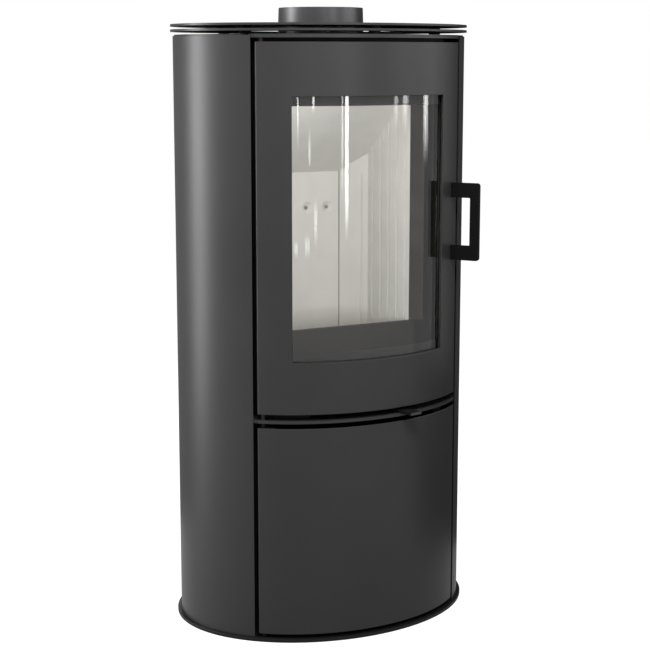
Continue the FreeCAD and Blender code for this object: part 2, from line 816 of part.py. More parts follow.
above_baffle = doc.addObject("Part::Box", "above_baffle")
baffle_slab = doc.addObject("Part::Box", "baffle_slab")
for slope, height in ((above_baffle, "cap_top"), (baffle_slab, "baffle_thickness")):
    slope.setExpression("Length", named("2 * shell_half"))
    slope.setExpression("Width", named("4 * shell_back"))
    slope.setExpression("Height", named(height))
    move(slope, "-shell_half", "-baffle_front", "mouth_top")
    turn_about(slope, "x", "baffle_angle", -1)

liner_tall = ("floor_top", "mouth_top")


def side_liner(name, sign):
    """One side slab with upright flutes in the face towards the fire."""
    low, high = liner_tall
    body = doc.addObject("PartDesign::Body", name + "_slab")
    drawing = sketch_in(body, name + "_plan", "XY_Plane")
    deep = ("-mouth_front", "liner_corner_side")
    if sign < 0:
        across = ("-shell_inner", "-liner_face")
        groove = ("-liner_face - flute_depth", "-liner_face + flute_depth")
    else:
        across = ("liner_face", "shell_inner")
        groove = ("liner_face - flute_depth", "liner_face + flute_depth")
    outline(drawing, rectangle(across, deep))
    pad(body, drawing, f"({high}) - ({low})")
    flute = sketch_in(body, name + "_flute", "XY_Plane")
    middle = f"(liner_corner_side - mouth_front) / 2 - flute_pitch * {(FLUTES - 1) / 2}"
    outline(flute, rectangle(groove, (f"{middle} - flute_width / 2", f"{middle} + flute_width / 2")))
    groove_cut = pocket_through(body, flute)
    repeat(body, groove_cut, flute, "V_Axis", FLUTES, "flute_pitch")
    move(body, z=low)
    return piece(cut(name, body, above_baffle))


side_liner("side_liner_left", -1)
side_liner("side_liner_right", 1)


def corner_point(along, inward):
    """A point of the corner slab, by its way along the face from the side slab and its depth behind it."""
    out_x = f"(({inward}) * corner_depth - ({along}) * corner_run) / corner_length"
    out_y = f"(({inward}) * corner_run + ({along}) * corner_depth) / corner_length"
    return f"liner_face + {out_x}", f"liner_corner_side + {out_y}"


def corner_liner(name, sign):
    """One mitred corner slab between the side and the back, with a stopped flute in its face."""
    slab_corners = [
        ("liner_face", "liner_corner_side"),
        ("shell_inner", "liner_corner_side"),
        ("shell_inner", "corner_side"),
        ("corner_back", "shell_back"),
        ("liner_corner_back", "shell_back"),
        ("liner_corner_back", "liner_back"),
    ]
    near, far = "corner_flute_inset - flute_width / 2", "corner_flute_inset + flute_width / 2"
    flute_corners = [
        corner_point(near, "-flute_depth"),
        corner_point(near, "flute_depth"),
        corner_point(far, "flute_depth"),
        corner_point(far, "-flute_depth"),
    ]
    flute_tall = ("floor_top", "mouth_top - corner_flute_drop")
    slab, flute = [
        plan_plate(name + tag, [[(f"{sign} * ({x})", y) for x, y in corners]], tall)
        for tag, corners, tall in (("_slab", slab_corners, liner_tall), ("_flute", flute_corners, flute_tall))
    ]
    return piece(cut(name, cut(name + "_fluted", slab, flute), above_baffle))


corner_liner("corner_liner_left", -1)
corner_liner("corner_liner_right", 1)

back_slab = block("back_liner_slab", both_ways("liner_corner_back"), ("liner_back", "shell_back"), liner_tall)
jets = []
for jet in JETS:
    for kind in ("hole", "dish"):
        if kind == "hole":
            tool = doc.addObject("Part::Cylinder", f"jet_hole_{jet + len(JETS)}")
            tool.setExpression("Radius", named("jet_radius"))
            tool.setExpression("Height", named("liner_thickness"))
        else:
            tool = doc.addObject("Part::Cone", f"jet_dish_{jet + len(JETS)}")
            tool.setExpression("Radius1", named("jet_dish_radius"))
            tool.setExpression("Radius2", named("jet_radius"))
            tool.setExpression("Height", named("jet_dish_depth"))
        tool.Placement.Rotation = Rotation(Vector(1, 0, 0), -90)
        jets.append(move(tool, f"{jet} * jet_pitch", "liner_back", "floor_top + jet_level"))
back_top = cut("back_liner_top", back_slab, above_baffle)
piece(cut("back_liner", back_top, group("jet_set", jets)))

hearth_hole = rectangle(both_ways("grate_half_width + grate_clearance"),
                        ("-grate_front - grate_clearance", "grate_back + grate_clearance"))
piece(plan_plate("floor_liner", [[
    ("liner_face", "-mouth_front"),
    ("liner_face", "liner_corner_side"),
    ("liner_corner_back", "liner_back"),
    ("-liner_corner_back", "liner_back"),
    ("-liner_face", "liner_corner_side"),
    ("-liner_face", "-mouth_front"),
], hearth_hole], ("floor_top", "hearth_top")))

baffle_plan = plan_plate("baffle_plan", [hearth_outline("baffle_clearance")], ("floor_top", "roof_bottom"))
piece(common("baffle", baffle_slab, baffle_plan))

piece(block("log_guard", both_ways("shell_inner - seam_gap"), ("-mouth_front - guard_depth", "-mouth_front"),
            ("floor_top", "floor_top + guard_rise")))

# Curved air-wash plate that hangs from the roof behind the front frame

piece(band("air_wash_plate", "throat_inset", "wash_sheet", both_ways("shell_inner - seam_gap"),
           ("window_top - wash_drop", "roof_bottom")))

# Cast grate with a row of slots, on the floor's lip

grate = doc.addObject("PartDesign::Body", "grate")
grate_plan = sketch_in(grate, "grate_plan", "XY_Plane")
outline(grate_plan, rectangle(grate_across, grate_deep))
pad(grate, grate_plan, "hearth_thickness")
grate_gap = sketch_in(grate, "grate_gap", "XY_Plane")
first_slot = "-grate_run / 2"
outline(grate_gap, rectangle((f"{first_slot} - grate_slot / 2", f"{first_slot} + grate_slot / 2"),
                             ("-grate_front + grate_rim", "grate_back - grate_rim")))
grate_cut = pocket_through(grate, grate_gap)
grate_slots = round(reading("grate_bars")) + 1
repeat(grate, grate_cut, grate_gap, "H_Axis", grate_slots, "grate_pitch")
piece(move(grate, z="floor_top"))

# Ash drawer: side rails, floor, and the sliding pan

rail_deep = ("-mouth_front - guard_depth", "ash_rail_back")
ash_tall = ("shelf_top", "floor_bottom")
piece(block("ash_rail_left", ("-ash_rail_half", "-ash_rail_inner"), rail_deep, ash_tall))
piece(block("ash_rail_right", ("ash_rail_inner", "ash_rail_half"), rail_deep, ash_tall))
piece(block("ash_floor", both_ways("ash_rail_inner"), rail_deep, ("ash_floor_bottom", "ash_floor_top")))

pan_tall = ("pan_bottom", "pan_top")
pan_body = block("ash_pan_body", both_ways("pan_half"), ("-pan_front", "pan_back"), pan_tall)
pan_inside = block("ash_pan_inside", both_ways("pan_half - pan_sheet"),
                   ("-pan_front + pan_sheet", "pan_back - pan_sheet"), ("pan_bottom + pan_sheet", "pan_top"))
pan_tray = cut("ash_pan_tray", pan_body, pan_inside)
pan_pull = block("ash_pan_pull", both_ways("pan_half / 2"), ("-pan_front - pan_lip", "-pan_front"),
                 ("pan_top - pan_sheet", "pan_top"))
piece(fuse("ash_pan", [pan_tray, pan_pull]))

# Air lever on its shoulder bolt, with the shutter disc over the shelf's air hole

lever_local = ("0", "lever_sheet")
lever_arm = block("air_lever_arm", both_ways("lever_width / 2"), ("-lever_reach", "0"), lever_local)
lever_boss = cylinder("air_lever_boss", "lever_boss_radius", lever_local)
lever_disc = cylinder("air_lever_disc", "shutter_radius", lever_local, "0", "-shutter_arm")
lever_solid = fuse("air_lever_solid", [lever_arm, lever_boss, lever_disc])
lever_bore = cylinder("air_lever_bore", "pivot_radius + running_clearance", lever_local)
lever = cut("air_lever", lever_solid, lever_bore)
move(lever, "0", "lever_pivot_back", "lever_bottom")
piece(turn_about(lever, "z", "lever_rest_angle"))

pivot_head_low = "lever_sheet + 2 * lever_play"
pivot = turned("lever_pivot", [
    ("0", "0"),
    ("pivot_radius", "0"),
    ("pivot_radius", pivot_head_low),
    ("pivot_head_radius", pivot_head_low),
    ("pivot_head_radius", f"{pivot_head_low} + pivot_head_height"),
    ("0", f"{pivot_head_low} + pivot_head_height"),
])
piece(move(pivot, "0", "lever_pivot_back", "shelf_top"))

# Fire door: curved plate with its window, inner frame, glass and seals


def window_block(name, tall):
    """The block that cuts the window through the door's plate."""
    return block(name, both_ways("window_half_width"), FRONT, tall)


def handle_frame(solid, z):
    """Set a solid at the handle's place on the door, its own X axis along the door's normal."""
    return stand_on_oval(solid, "handle_x", -1, z)


arm_levels = ("handle_arm / 2", "handle_height - handle_arm / 2")


def handle_bores(name, radius, start, length):
    """Two bores along the handle's screws, in the handle's own frame."""
    return [lie_along_x(cylinder(f"{name}_{number}", radius, ("0", length)), start, level)
            for number, level in enumerate(arm_levels)]


door_tall = ("door_bottom", "door_top")
door_sheet = band("door_sheet", "0", "door_plate", both_ways("door_half_width"), door_tall)
door_cut = cut("door_panel_window", door_sheet, window_block("door_window", ("window_bottom", "window_top")))
panel_holes = group("door_panel_holes",
                    handle_bores("panel_hole", "screw_radius + screw_clearance", "-screw_depth",
                                 "2 * screw_depth"))
handle_frame(panel_holes, "handle_bottom")
piece(cut("door_panel", door_cut, panel_holes))

frame_tall = ("frame_bottom", "frame_top")
frame_band = band("door_frame_band", "frame_inset", "frame_depth", both_ways("frame_outer"), frame_tall)
frame_openings = group("door_frame_openings", [
    block("door_frame_glass_opening", both_ways("frame_inner"), FRONT, ("frame_sill", "frame_head")),
    block("door_frame_ash_opening", both_ways("frame_inner"), FRONT,
          ("frame_bottom + frame_bar", "frame_sill - frame_bar")),
])
piece(cut("door_frame", frame_band, frame_openings))

glass_tall = ("glass_bottom", "glass_top")
piece(band("window_glass", "glass_inset", "glass_sheet", both_ways("glass_half_width"), glass_tall))
tape = band("glass_tape_sheet", "tape_inset", "glass_seat - 2 * seam_gap", both_ways("glass_half_width"),
            glass_tall)
piece(cut("glass_tape", tape, window_block("glass_tape_window", ("window_bottom", "window_top"))))

piece(band("glass_retainer_bottom", "retainer_inset", "retainer_sheet", both_ways("frame_inner"),
           ("frame_sill", "frame_sill + retainer_rise")))
piece(band("glass_retainer_top", "retainer_inset", "retainer_sheet", both_ways("frame_inner"),
           ("frame_head - retainer_rise", "frame_head")))
retainer_tall = ("frame_sill + retainer_rise", "frame_head - retainer_rise")
piece(group("glass_retainer_sides", [
    band("glass_retainer_left", "retainer_inset", "retainer_sheet",
         ("-frame_inner", "-frame_inner + retainer_lap"), retainer_tall),
    band("glass_retainer_right", "retainer_inset", "retainer_sheet",
         ("frame_inner - retainer_lap", "frame_inner"), retainer_tall),
]))

rope_band = band("door_rope_band", "rope_inset", "rope_depth", both_ways("frame_outer"), frame_tall)
rope_hole = block("door_rope_hole", both_ways("frame_outer - rope_width"), FRONT,
                  ("frame_bottom + rope_width", "frame_top - rope_width"))
piece(cut("door_rope", rope_band, rope_hole))

# Hinge pins on the stove, sleeves on the doors


def hinge_pin(name, gap, foot, sign):
    """A shouldered pin that fills the gap beside a door and enters the sleeve."""
    shoulder = f"({gap}) - hinge_end_clearance"
    tip = f"({gap}) + hinge_spigot_length"
    pin = turned(name, [
        ("0", "0"),
        ("hinge_shoulder_radius", "0"),
        ("hinge_shoulder_radius", f"{sign} * ({shoulder})"),
        ("hinge_spigot_radius", f"{sign} * ({shoulder})"),
        ("hinge_spigot_radius", f"{sign} * ({tip})"),
        ("0", f"{sign} * ({tip})"),
    ])
    return move(pin, "-hinge_left", "-hinge_front", foot)


piece(group("door_hinge_pins", [
    hinge_pin("door_pin_low", "gap_over_shelf", "shelf_top", 1),
    hinge_pin("door_pin_high", "gap_over_door", "rail_bottom", -1),
]))
piece(group("lower_hinge_pins", [
    hinge_pin("lower_pin_low", "base_gap", "base_thickness", 1),
    hinge_pin("lower_pin_high", "gap_under_shelf", "shelf_bottom", -1),
]))


def hinge_sleeve(name, tall):
    """A bored sleeve behind the door plate with a lug that fills up to the plate."""
    tube = cylinder(name + "_tube", "hinge_sleeve_radius", tall, "-hinge_left", "-hinge_front")
    lug_box = block(name + "_lug_box", ("-hinge_left", "-frame_outer"),
                    ("-body_half_depth", "-hinge_front + hinge_lug_back"), tall)
    lug = common(name + "_lug", lug_box, inset_oval(name + "_lug_skin", "frame_inset", tall))
    solid = fuse(name + "_solid", [tube, lug])
    bore = cylinder(name + "_bore", "hinge_spigot_radius + running_clearance", tall, "-hinge_left",
                    "-hinge_front")
    return cut(name, solid, bore)


piece(group("door_hinge_sleeves", [
    hinge_sleeve("door_sleeve_low", ("door_bottom", "door_bottom + hinge_sleeve_length")),
    hinge_sleeve("door_sleeve_high", ("door_top - hinge_sleeve_length", "door_top")),
]))

# Handle: one flat loop of plate, screwed on from behind the door

handle_loop = doc.addObject("PartDesign::Body", "door_handle_loop")
loop_face = sketch_in(handle_loop, "door_handle_face", "XZ_Plane")
grip_inside = "handle_reach - handle_grip"
upper_arm = "handle_height - handle_arm"
outline(loop_face, [
    ("-handle_root", "0"),
    ("handle_reach", "0"),
    ("handle_reach", "handle_height"),
    ("-handle_root", "handle_height"),
    ("-handle_root", upper_arm),
    (grip_inside, upper_arm),
    (grip_inside, "handle_arm"),
    ("-handle_root", "handle_arm"),
])
loop_pad = pad(handle_loop, loop_face, "handle_thickness")
loop_pad.SideType = "Symmetric"
doc.recompute()
outer_corners = []
for number, edge in enumerate(loop_pad.Shape.Edges, start=1):
    ends = [vertex.Point for vertex in edge.Vertexes]
    across_plate = abs(ends[0].y - ends[1].y) > reading("handle_thickness") / 2
    if across_plate and min(end.x for end in ends) > reading(grip_inside):
        outer_corners.append(f"Edge{number}")
rounded = handle_loop.newObject("PartDesign::Fillet", "door_handle_rounding")
rounded.Base = (loop_pad, outer_corners)
rounded.setExpression("Radius", named("handle_corner"))
handle_frame(handle_loop, "handle_bottom")

arm_bores = group("door_handle_bores",
                  handle_bores("arm_bore", "screw_radius + screw_clearance", "-screw_depth",
                               "2 * screw_depth + screw_clearance"))
handle_frame(arm_bores, "handle_bottom")
door_skin = inset_oval("door_skin", "-seam_gap", door_tall)
handle_seated = cut("door_handle_seated", handle_loop, door_skin)
piece(cut("door_handle", handle_seated, arm_bores))

handle_screw_set = []
for number, level in enumerate(arm_levels):
    head_back = "-door_plate - seam_gap - screw_head_height"
    head = lie_along_x(cylinder(f"handle_screw_head_{number}", "screw_head_radius",
                                ("0", "screw_head_height")),
                       head_back, level)
    shank = lie_along_x(cylinder(f"handle_screw_shank_{number}", "screw_radius",
                                 ("0", "door_plate + seam_gap + screw_depth")),
                        "-door_plate - seam_gap", level)
    handle_screw_set.append(fuse(f"handle_screw_{number}", [head, shank]))
handle_screws = group("handle_screws", handle_screw_set)
piece(handle_frame(handle_screws, "handle_bottom"))

# Roller catch: tongue on the door, bracket, pin and roller on the firebox wall

latch_tall = ("latch_z - tongue_height / 2", "latch_z + tongue_height / 2")
tongue_box = block("latch_tongue_box", ("tongue_right - tongue_sheet", "tongue_right"),
                   ("-body_half_depth", "-tongue_end"), latch_tall)
tongue_skin = inset_oval("latch_tongue_skin", "frame_inset", latch_tall)
piece(common("latch_tongue", tongue_box, tongue_skin))

bracket_end = "roller_x + roller_radius + bracket_margin"
bracket_reach = "roller_radius + bracket_margin"
bracket_deep = (f"-roller_front - ({bracket_reach})", f"-roller_front + {bracket_reach}")
bracket_tall = ("latch_z - bracket_gap - bracket_sheet", "latch_z + bracket_gap + bracket_sheet")
bracket_block = block("latch_bracket_block", ("shell_half", bracket_end), bracket_deep, bracket_tall)
bracket_space = block("latch_bracket_space", ("shell_half + bracket_sheet", "2 * roller_x"), bracket_deep,
                      ("latch_z - bracket_gap", "latch_z + bracket_gap"))
bracket_fork = cut("latch_bracket_fork", bracket_block, bracket_space)
pin_hole = cylinder("latch_bracket_hole", "latch_pin_radius + running_clearance", bracket_tall, "roller_x",
                    "-roller_front")
piece(cut("latch_bracket", bracket_fork, pin_hole))
piece(cylinder("latch_pin", "latch_pin_radius", bracket_tall, "roller_x", "-roller_front"))
roller_tall = ("latch_z - roller_height / 2", "latch_z + roller_height / 2")
roller_body = cylinder("latch_roller_body", "roller_radius", roller_tall, "roller_x", "-roller_front")
roller_bore = cylinder("latch_roller_bore", "latch_pin_radius + running_clearance", roller_tall, "roller_x",
                       "-roller_front")
piece(cut("latch_roller", roller_body, roller_bore))

# Log-store door: plain curved plate on the same hinge line, held by a magnet under the shelf

piece(band("lower_door_panel", "0", "door_plate", both_ways("door_half_width"),
           ("lower_door_bottom", "lower_door_top")))
piece(group("lower_hinge_sleeves", [
    hinge_sleeve("lower_sleeve_low", ("lower_door_bottom", "lower_door_bottom + hinge_sleeve_length")),
    hinge_sleeve("lower_sleeve_high", ("lower_door_top - hinge_sleeve_length", "lower_door_top")),
]))
catch_across = ("door_half_width - catch_edge_inset - catch_width", "door_half_width - catch_edge_inset")
catch_plate_top = "shelf_bottom - catch_drop"
catch_plate_tall = (f"{catch_plate_top} - catch_plate_height", catch_plate_top)
catch_box = block("catch_plate_box", catch_across, ("-body_half_depth", "-catch_front"), catch_plate_tall)
piece(common("catch_plate", catch_box, inset_oval("catch_plate_skin", "frame_inset", catch_plate_tall)))
piece(block("magnet_catch", catch_across, ("-catch_front + seam_gap", "-catch_front + catch_depth"),
            (catch_plate_tall[0], "shelf_bottom")))

# Check every object, then write each piece

doc.recompute()
faults = []
for item in doc.Objects:
    if "Invalid" in item.State or "Error" in item.State:
        faults.append(f"{item.Name}: {item.State}")
for item in PIECES:
    if item.Shape.isNull() or not item.Shape.isValid() or not item.Shape.Solids:
        faults.append(f"{item.Name}: no valid solid")
if faults:
    raise RuntimeError("; ".join(faults))

os.makedirs("parts", exist_ok=True)
for item in PIECES:
    item.Shape.exportStep(f"parts/{item.Label}.step")
print(len(PIECES), "pieces written")
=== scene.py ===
"""Oval steel wood stove: the finished looks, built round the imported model.

The file follows the stove as it is put together, from the base plate up to the flue collar, then the
two doors, and last the studio that it is photographed in. Lengths are metres in the model's own frame.
"""

import math

import bpy
import numpy as np
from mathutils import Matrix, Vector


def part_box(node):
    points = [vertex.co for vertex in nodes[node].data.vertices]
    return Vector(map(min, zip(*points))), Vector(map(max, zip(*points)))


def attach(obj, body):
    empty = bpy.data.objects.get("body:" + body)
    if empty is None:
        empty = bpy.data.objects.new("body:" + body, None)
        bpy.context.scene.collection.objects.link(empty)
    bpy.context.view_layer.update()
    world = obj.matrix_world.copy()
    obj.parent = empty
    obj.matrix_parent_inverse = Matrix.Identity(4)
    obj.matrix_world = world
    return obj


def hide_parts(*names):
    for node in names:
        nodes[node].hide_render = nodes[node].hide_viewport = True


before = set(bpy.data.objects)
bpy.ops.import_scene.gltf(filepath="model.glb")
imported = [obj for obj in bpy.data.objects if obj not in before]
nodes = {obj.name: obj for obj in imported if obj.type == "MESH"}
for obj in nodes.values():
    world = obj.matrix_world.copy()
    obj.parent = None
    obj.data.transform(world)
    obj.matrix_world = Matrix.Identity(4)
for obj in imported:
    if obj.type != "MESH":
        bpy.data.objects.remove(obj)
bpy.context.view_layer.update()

# Base plate
# One oval of steel plate, laser cut, with its edges broken. Its paint is darker than the casing's:
# painted shade for the shadow on its top face. The whole stove stands on it, and it shows as a thin lip
# all round the body.


class Value:
    """One output of a finish's nodes. Arithmetic on it adds Math nodes to that finish."""

    def __init__(self, finish, socket):
        self.finish = finish
        self.socket = socket

    def combine(self, operation, first, second):
        """One Math node on two values or numbers."""
        return self.finish.node("ShaderNodeMath", {"operation": operation}, {0: first, 1: second})

    def __add__(self, other):
        return self.combine("ADD", self, other)

    def __radd__(self, other):
        return self.combine("ADD", other, self)

    def __sub__(self, other):
        return self.combine("SUBTRACT", self, other)

    def __rsub__(self, other):
        return self.combine("SUBTRACT", other, self)

    def __mul__(self, other):
        return self.combine("MULTIPLY", self, other)

    def __rmul__(self, other):
        return self.combine("MULTIPLY", other, self)

    def __pow__(self, other):
        return self.combine("POWER", self, other)

    def __rpow__(self, other):
        return self.combine("POWER", other, self)

    def __gt__(self, other):
        return self.combine("GREATER_THAN", self, other)

    def __lt__(self, other):
        return self.combine("LESS_THAN", self, other)

    def maximum(self, other):
        """The larger of the two."""
        return self.combine("MAXIMUM", self, other)


class Finish:
    """A material in the making: node() adds a node, surface() closes it with the shader that shows."""

    def __init__(self, name, kind=bpy.data.materials):
        self.holder = kind.new(name)
        self.holder.use_nodes = True
        self.tree = self.holder.node_tree
        self.tree.nodes.clear()

    def node(self, kind, settings=None, sockets=None, output=0):
        """Add a node: its settings first, then the values or links of its sockets. Gives one output."""
        made = self.tree.nodes.new(kind)
        for key, setting in (settings or {}).items():
            setattr(made, key, setting)
        for key, feed in (sockets or {}).items():
            if isinstance(feed, Value):
                self.tree.links.new(feed.socket, made.inputs[key])
            else:
                made.inputs[key].default_value = feed
        return Value(self, made.outputs[output]) if made.outputs else None

    def place(self):
        """The point on the piece, in metres in the stove's frame."""
        return self.node("ShaderNodeTexCoord", output="Object")

    def part_of(self, vector, axis):
        """One of a vector's three numbers."""
        return self.node("ShaderNodeSeparateXYZ", None, {"Vector": vector}, axis)

    def noise(self, vector, scale, detail):
        """Soft noise from 0 to 1, with so many lumps to the metre and so many finer layers on them."""
        return self.node("ShaderNodeTexNoise", None, {"Vector": vector, "Scale": scale, "Detail": detail})

    def rise(self, value, start, end):
        """A smooth climb from 0 where the value is at the start to 1 where it is at the end."""
        return self.node("ShaderNodeMapRange", {"interpolation_type": "SMOOTHSTEP"},
                         {"Value": value, "From Min": start, "From Max": end})

    def blend(self, factor, first, second):
        """A colour from the first to the second as the factor goes from 0 to 1."""
        settings = {"data_type": "RGBA", "clamp_factor": True}
        return self.node("ShaderNodeMix", settings, {0: factor, 6: first, 7: second}, 2)

    def bump(self, height, strength, depth):
        """The surface's normal over a height from 0 to 1 that stands for so many metres."""
        return self.node("ShaderNodeBump", None,
                         {"Height": height, "Strength": strength, "Distance": depth})

    def surface(self, sockets):
        """Close the material with one general shader."""
        shader = self.node("ShaderNodeBsdfPrincipled", None, sockets)
        return self.show(shader)

    def show(self, shader, output="ShaderNodeOutputMaterial"):
        """Close the material, or the surround, with a shader of its own."""
        self.node(output, None, {"Surface": shader})
        return self.holder


# Clouds and grains are lumps to the metre, shares and roughness go from 0 to 1, and depths are metres.
PAINT_CLOUDS = 7.0
PAINT_GRAINS = 2200.0
PAINT_GRAIN_SHARE = 0.45
PAINT_CLOUD_ROUGHNESS = 0.06
PAINT_GRAIN_ROUGHNESS = 0.04
PAINT_BUMP = 0.16
PAINT_GRAIN_DEPTH = 0.00012


def paint_finish(name, dark, light, roughness, specular):
    """Heat-proof paint sprayed on steel: a faint cloud in the tone, and a grain of about half a millimetre.

    The roughness goes a little to both sides of the given one, with the cloud and with the grain.
    """
    finish = Finish(name)
    place = finish.place()
    cloud = finish.noise(place, PAINT_CLOUDS, detail=3.0)
    grain = finish.noise(place, PAINT_GRAINS, detail=1.0)
    tone = cloud * (1 - PAINT_GRAIN_SHARE) + grain * PAINT_GRAIN_SHARE
    unevenness = (cloud - 0.5) * PAINT_CLOUD_ROUGHNESS + (grain - 0.5) * PAINT_GRAIN_ROUGHNESS
    return finish.surface({
        "Base Color": finish.blend(tone, dark, light),
        "Roughness": roughness + unevenness,
        "Specular IOR Level": specular,
        "Normal": finish.bump(grain, PAINT_BUMP, PAINT_GRAIN_DEPTH),
    })


ANTHRACITE_DARK = (0.021, 0.021, 0.0215, 1.0)
ANTHRACITE_LIGHT = (0.035, 0.035, 0.0355, 1.0)
casing_paint = paint_finish("casing_paint", ANTHRACITE_DARK, ANTHRACITE_LIGHT, roughness=0.38, specular=0.2)

EDGE_BREAK = 0.0006
EDGE_STEPS = 2
EDGE_ANGLE = math.radians(40)


def finished_piece(name, vertices, faces, material, slot, body, edge=EDGE_BREAK):
    """Put a shape into the scene with its edges rounded, standing for the CAD node of the same name."""
    mesh = bpy.data.meshes.new(name + "_shape")
    mesh.from_pydata(np.asarray(vertices).tolist(), [], [list(face) for face in faces])
    mesh.shade_smooth()
    mesh.materials.append(material)
    piece = bpy.data.objects.new(name + "_finished", mesh)
    bpy.context.scene.collection.objects.link(piece)
    if edge:
        rounding = piece.modifiers.new("edge", "BEVEL")
        rounding.width = edge
        rounding.segments = EDGE_STEPS
        rounding.limit_method = "ANGLE"
        rounding.angle_limit = EDGE_ANGLE
        rounding.harden_normals = True
    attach(piece, body)
    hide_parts(name)


OVAL_POINTS = 192


def oval_loop(half_width, half_depth):
    """Points once round an ellipse, from the front to the right: half-axes times sine and minus cosine."""
    turn = np.linspace(0, 2 * np.pi, OVAL_POINTS, endpoint=False)
    return np.stack([half_width * np.sin(turn), -half_depth * np.cos(turn)], axis=1)


def disc_between(rim, levels):
    """A plate with no hole: its rim carried up from one level to the other and closed by two flat faces."""
    count = len(rim)
    bottom, top = [np.column_stack([rim, np.full(count, level)]) for level in levels]
    way = np.arange(count)
    after = np.roll(way, -1)
    walls = np.column_stack([way, after, after + count, way + count])
    faces = walls.tolist() + [way[::-1].tolist(), (way + count).tolist()]
    return np.concatenate([bottom, top]), faces


# Both tones are darker than the casing's: painted shade for the base plate's top face, which lies in shadow.
SHADED_BASE_DARK = (0.006, 0.006, 0.0062, 1.0)
SHADED_BASE_LIGHT = (0.013, 0.013, 0.0133, 1.0)
shaded_base_paint = paint_finish("shaded_base_paint", SHADED_BASE_DARK, SHADED_BASE_LIGHT, roughness=0.45, specular=0.15)
base_low, base_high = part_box("base_plate")
base_rim = oval_loop(base_high.x, base_high.y)
base_shape = disc_between(base_rim, (base_low.z, base_high.z))
finished_piece("base_plate", *base_shape, shaded_base_paint, "casing_paint", "stove_body")

# Log store
# Two side plates and a back plate stand on the base plate and carry the shelf. They are plain cut steel,
# painted matt black inside, and only show when the lower door is open.


def dress(names, material):
    """Give CAD nodes that stay as they are their finish."""
    for name in names:
        slots = nodes[name].data.materials
        slots.clear()
        slots.append(material)


PLATE_CLOUDS = 14.0
PLATE_TEETH = 900.0
PLATE_TOOTH_SHARE = 0.2
PLATE_DARK = (0.006, 0.006, 0.006, 1.0)
PLATE_DUSTY = (0.018, 0.0175, 0.017, 1.0)
PLATE_ROUGHNESS = 0.58
PLATE_CLOUD_ROUGHNESS = 0.18
PLATE_SPECULAR = 0.15
TOOTH_BUMP = 0.2
TOOTH_DEPTH = 0.0002


def black_plate_finish(name):
    """Matt black paint on rolled plate: mill clouds from dark to dusty in the tone, and a fine tooth."""
    finish = Finish(name)
    place = finish.place()
    cloud = finish.noise(place, PLATE_CLOUDS, detail=5.0)
    tooth = finish.noise(place, PLATE_TEETH, detail=2.0)
    tone = cloud * (1 - PLATE_TOOTH_SHARE) + tooth * PLATE_TOOTH_SHARE
    return finish.surface({
        "Base Color": finish.blend(tone, PLATE_DARK, PLATE_DUSTY),
        "Roughness": PLATE_ROUGHNESS + cloud * PLATE_CLOUD_ROUGHNESS,
        "Specular IOR Level": PLATE_SPECULAR,
        "Normal": finish.bump(tooth, TOOTH_BUMP, TOOTH_DEPTH),
    })


black_plate = black_plate_finish("black_plate")
dress(["store_wall_left", "store_wall_right", "store_back"], black_plate)

# Side casings
# Each side is one sheet rolled to the oval, with its front edge folded back beside the doors. The rear
# edges stop at the posts behind the screwed cover.

body_half_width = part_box("side_casing_right")[1].x
body_half_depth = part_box("rear_cover")[1].y
door_half_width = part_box("door_panel")[1].x
CASING_SHEET = 0.002
CASING_FOLD = 0.013
DOOR_SIDE_GAP = 0.0065
REAR_SEAM = 0.002
CASING_POINTS = 120


def sheet_between(outer, inner, levels, kept=None, closed=False):
    """A sheet whose two sides follow two plan paths, carried up through levels.

    Point k, i of either side is the path's point i at level k. Cells that are not kept are openings, and
    each border of the kept cells is walled from the outer side to the inner one.
    """
    levels = np.asarray(levels, float)
    rows, count = len(levels), len(outer)
    points = np.empty((2, rows, count, 3))
    points[..., :2] = np.stack([outer, inner])[:, None]
    points[..., 2] = levels[None, :, None]
    ids = np.arange(2 * rows * count).reshape(2, rows, count)
    if closed:
        ids = np.concatenate([ids, ids[:, :, :1]], axis=2)
    cells = np.ones((rows - 1, ids.shape[2] - 1), bool) if kept is None else kept
    around = np.pad(cells, 1)
    if closed:
        around[:, 0] = around[:, -2]
        around[:, -1] = around[:, 1]
    cell_corners = (ids[:, :-1, :-1], ids[:, :-1, 1:], ids[:, 1:, 1:], ids[:, 1:, :-1])
    out_a, out_b, out_c, out_d = [corner[0] for corner in cell_corners]
    in_a, in_b, in_c, in_d = [corner[1] for corner in cell_corners]
    groups = [
        (cells, (out_a, out_b, out_c, out_d)),
        (cells, (in_a, in_d, in_c, in_b)),
        (cells & ~around[1:-1, :-2], (out_a, out_d, in_d, in_a)),
        (cells & ~around[1:-1, 2:], (out_b, in_b, in_c, out_c)),
        (cells & ~around[:-2, 1:-1], (out_a, in_a, in_b, out_b)),
        (cells & ~around[2:, 1:-1], (out_d, out_c, in_c, in_d)),
    ]
    faces = np.concatenate([np.stack(corners, axis=-1)[mask] for mask, corners in groups])
    used, faces = np.unique(faces, return_inverse=True)
    return points.reshape(-1, 3)[used], faces.reshape(-1, 4)


def oval_arc(inset, front_x, rear_x, count):
    """Points round the right side of the oval drawn in by an inset, from a front X to a rear X."""
    wide = body_half_width - inset
    turn = np.linspace(math.asin(front_x / wide), math.pi - math.asin(rear_x / wide), count)
    return np.stack([wide * np.sin(turn), -(body_half_depth - inset) * np.cos(turn)], axis=1)


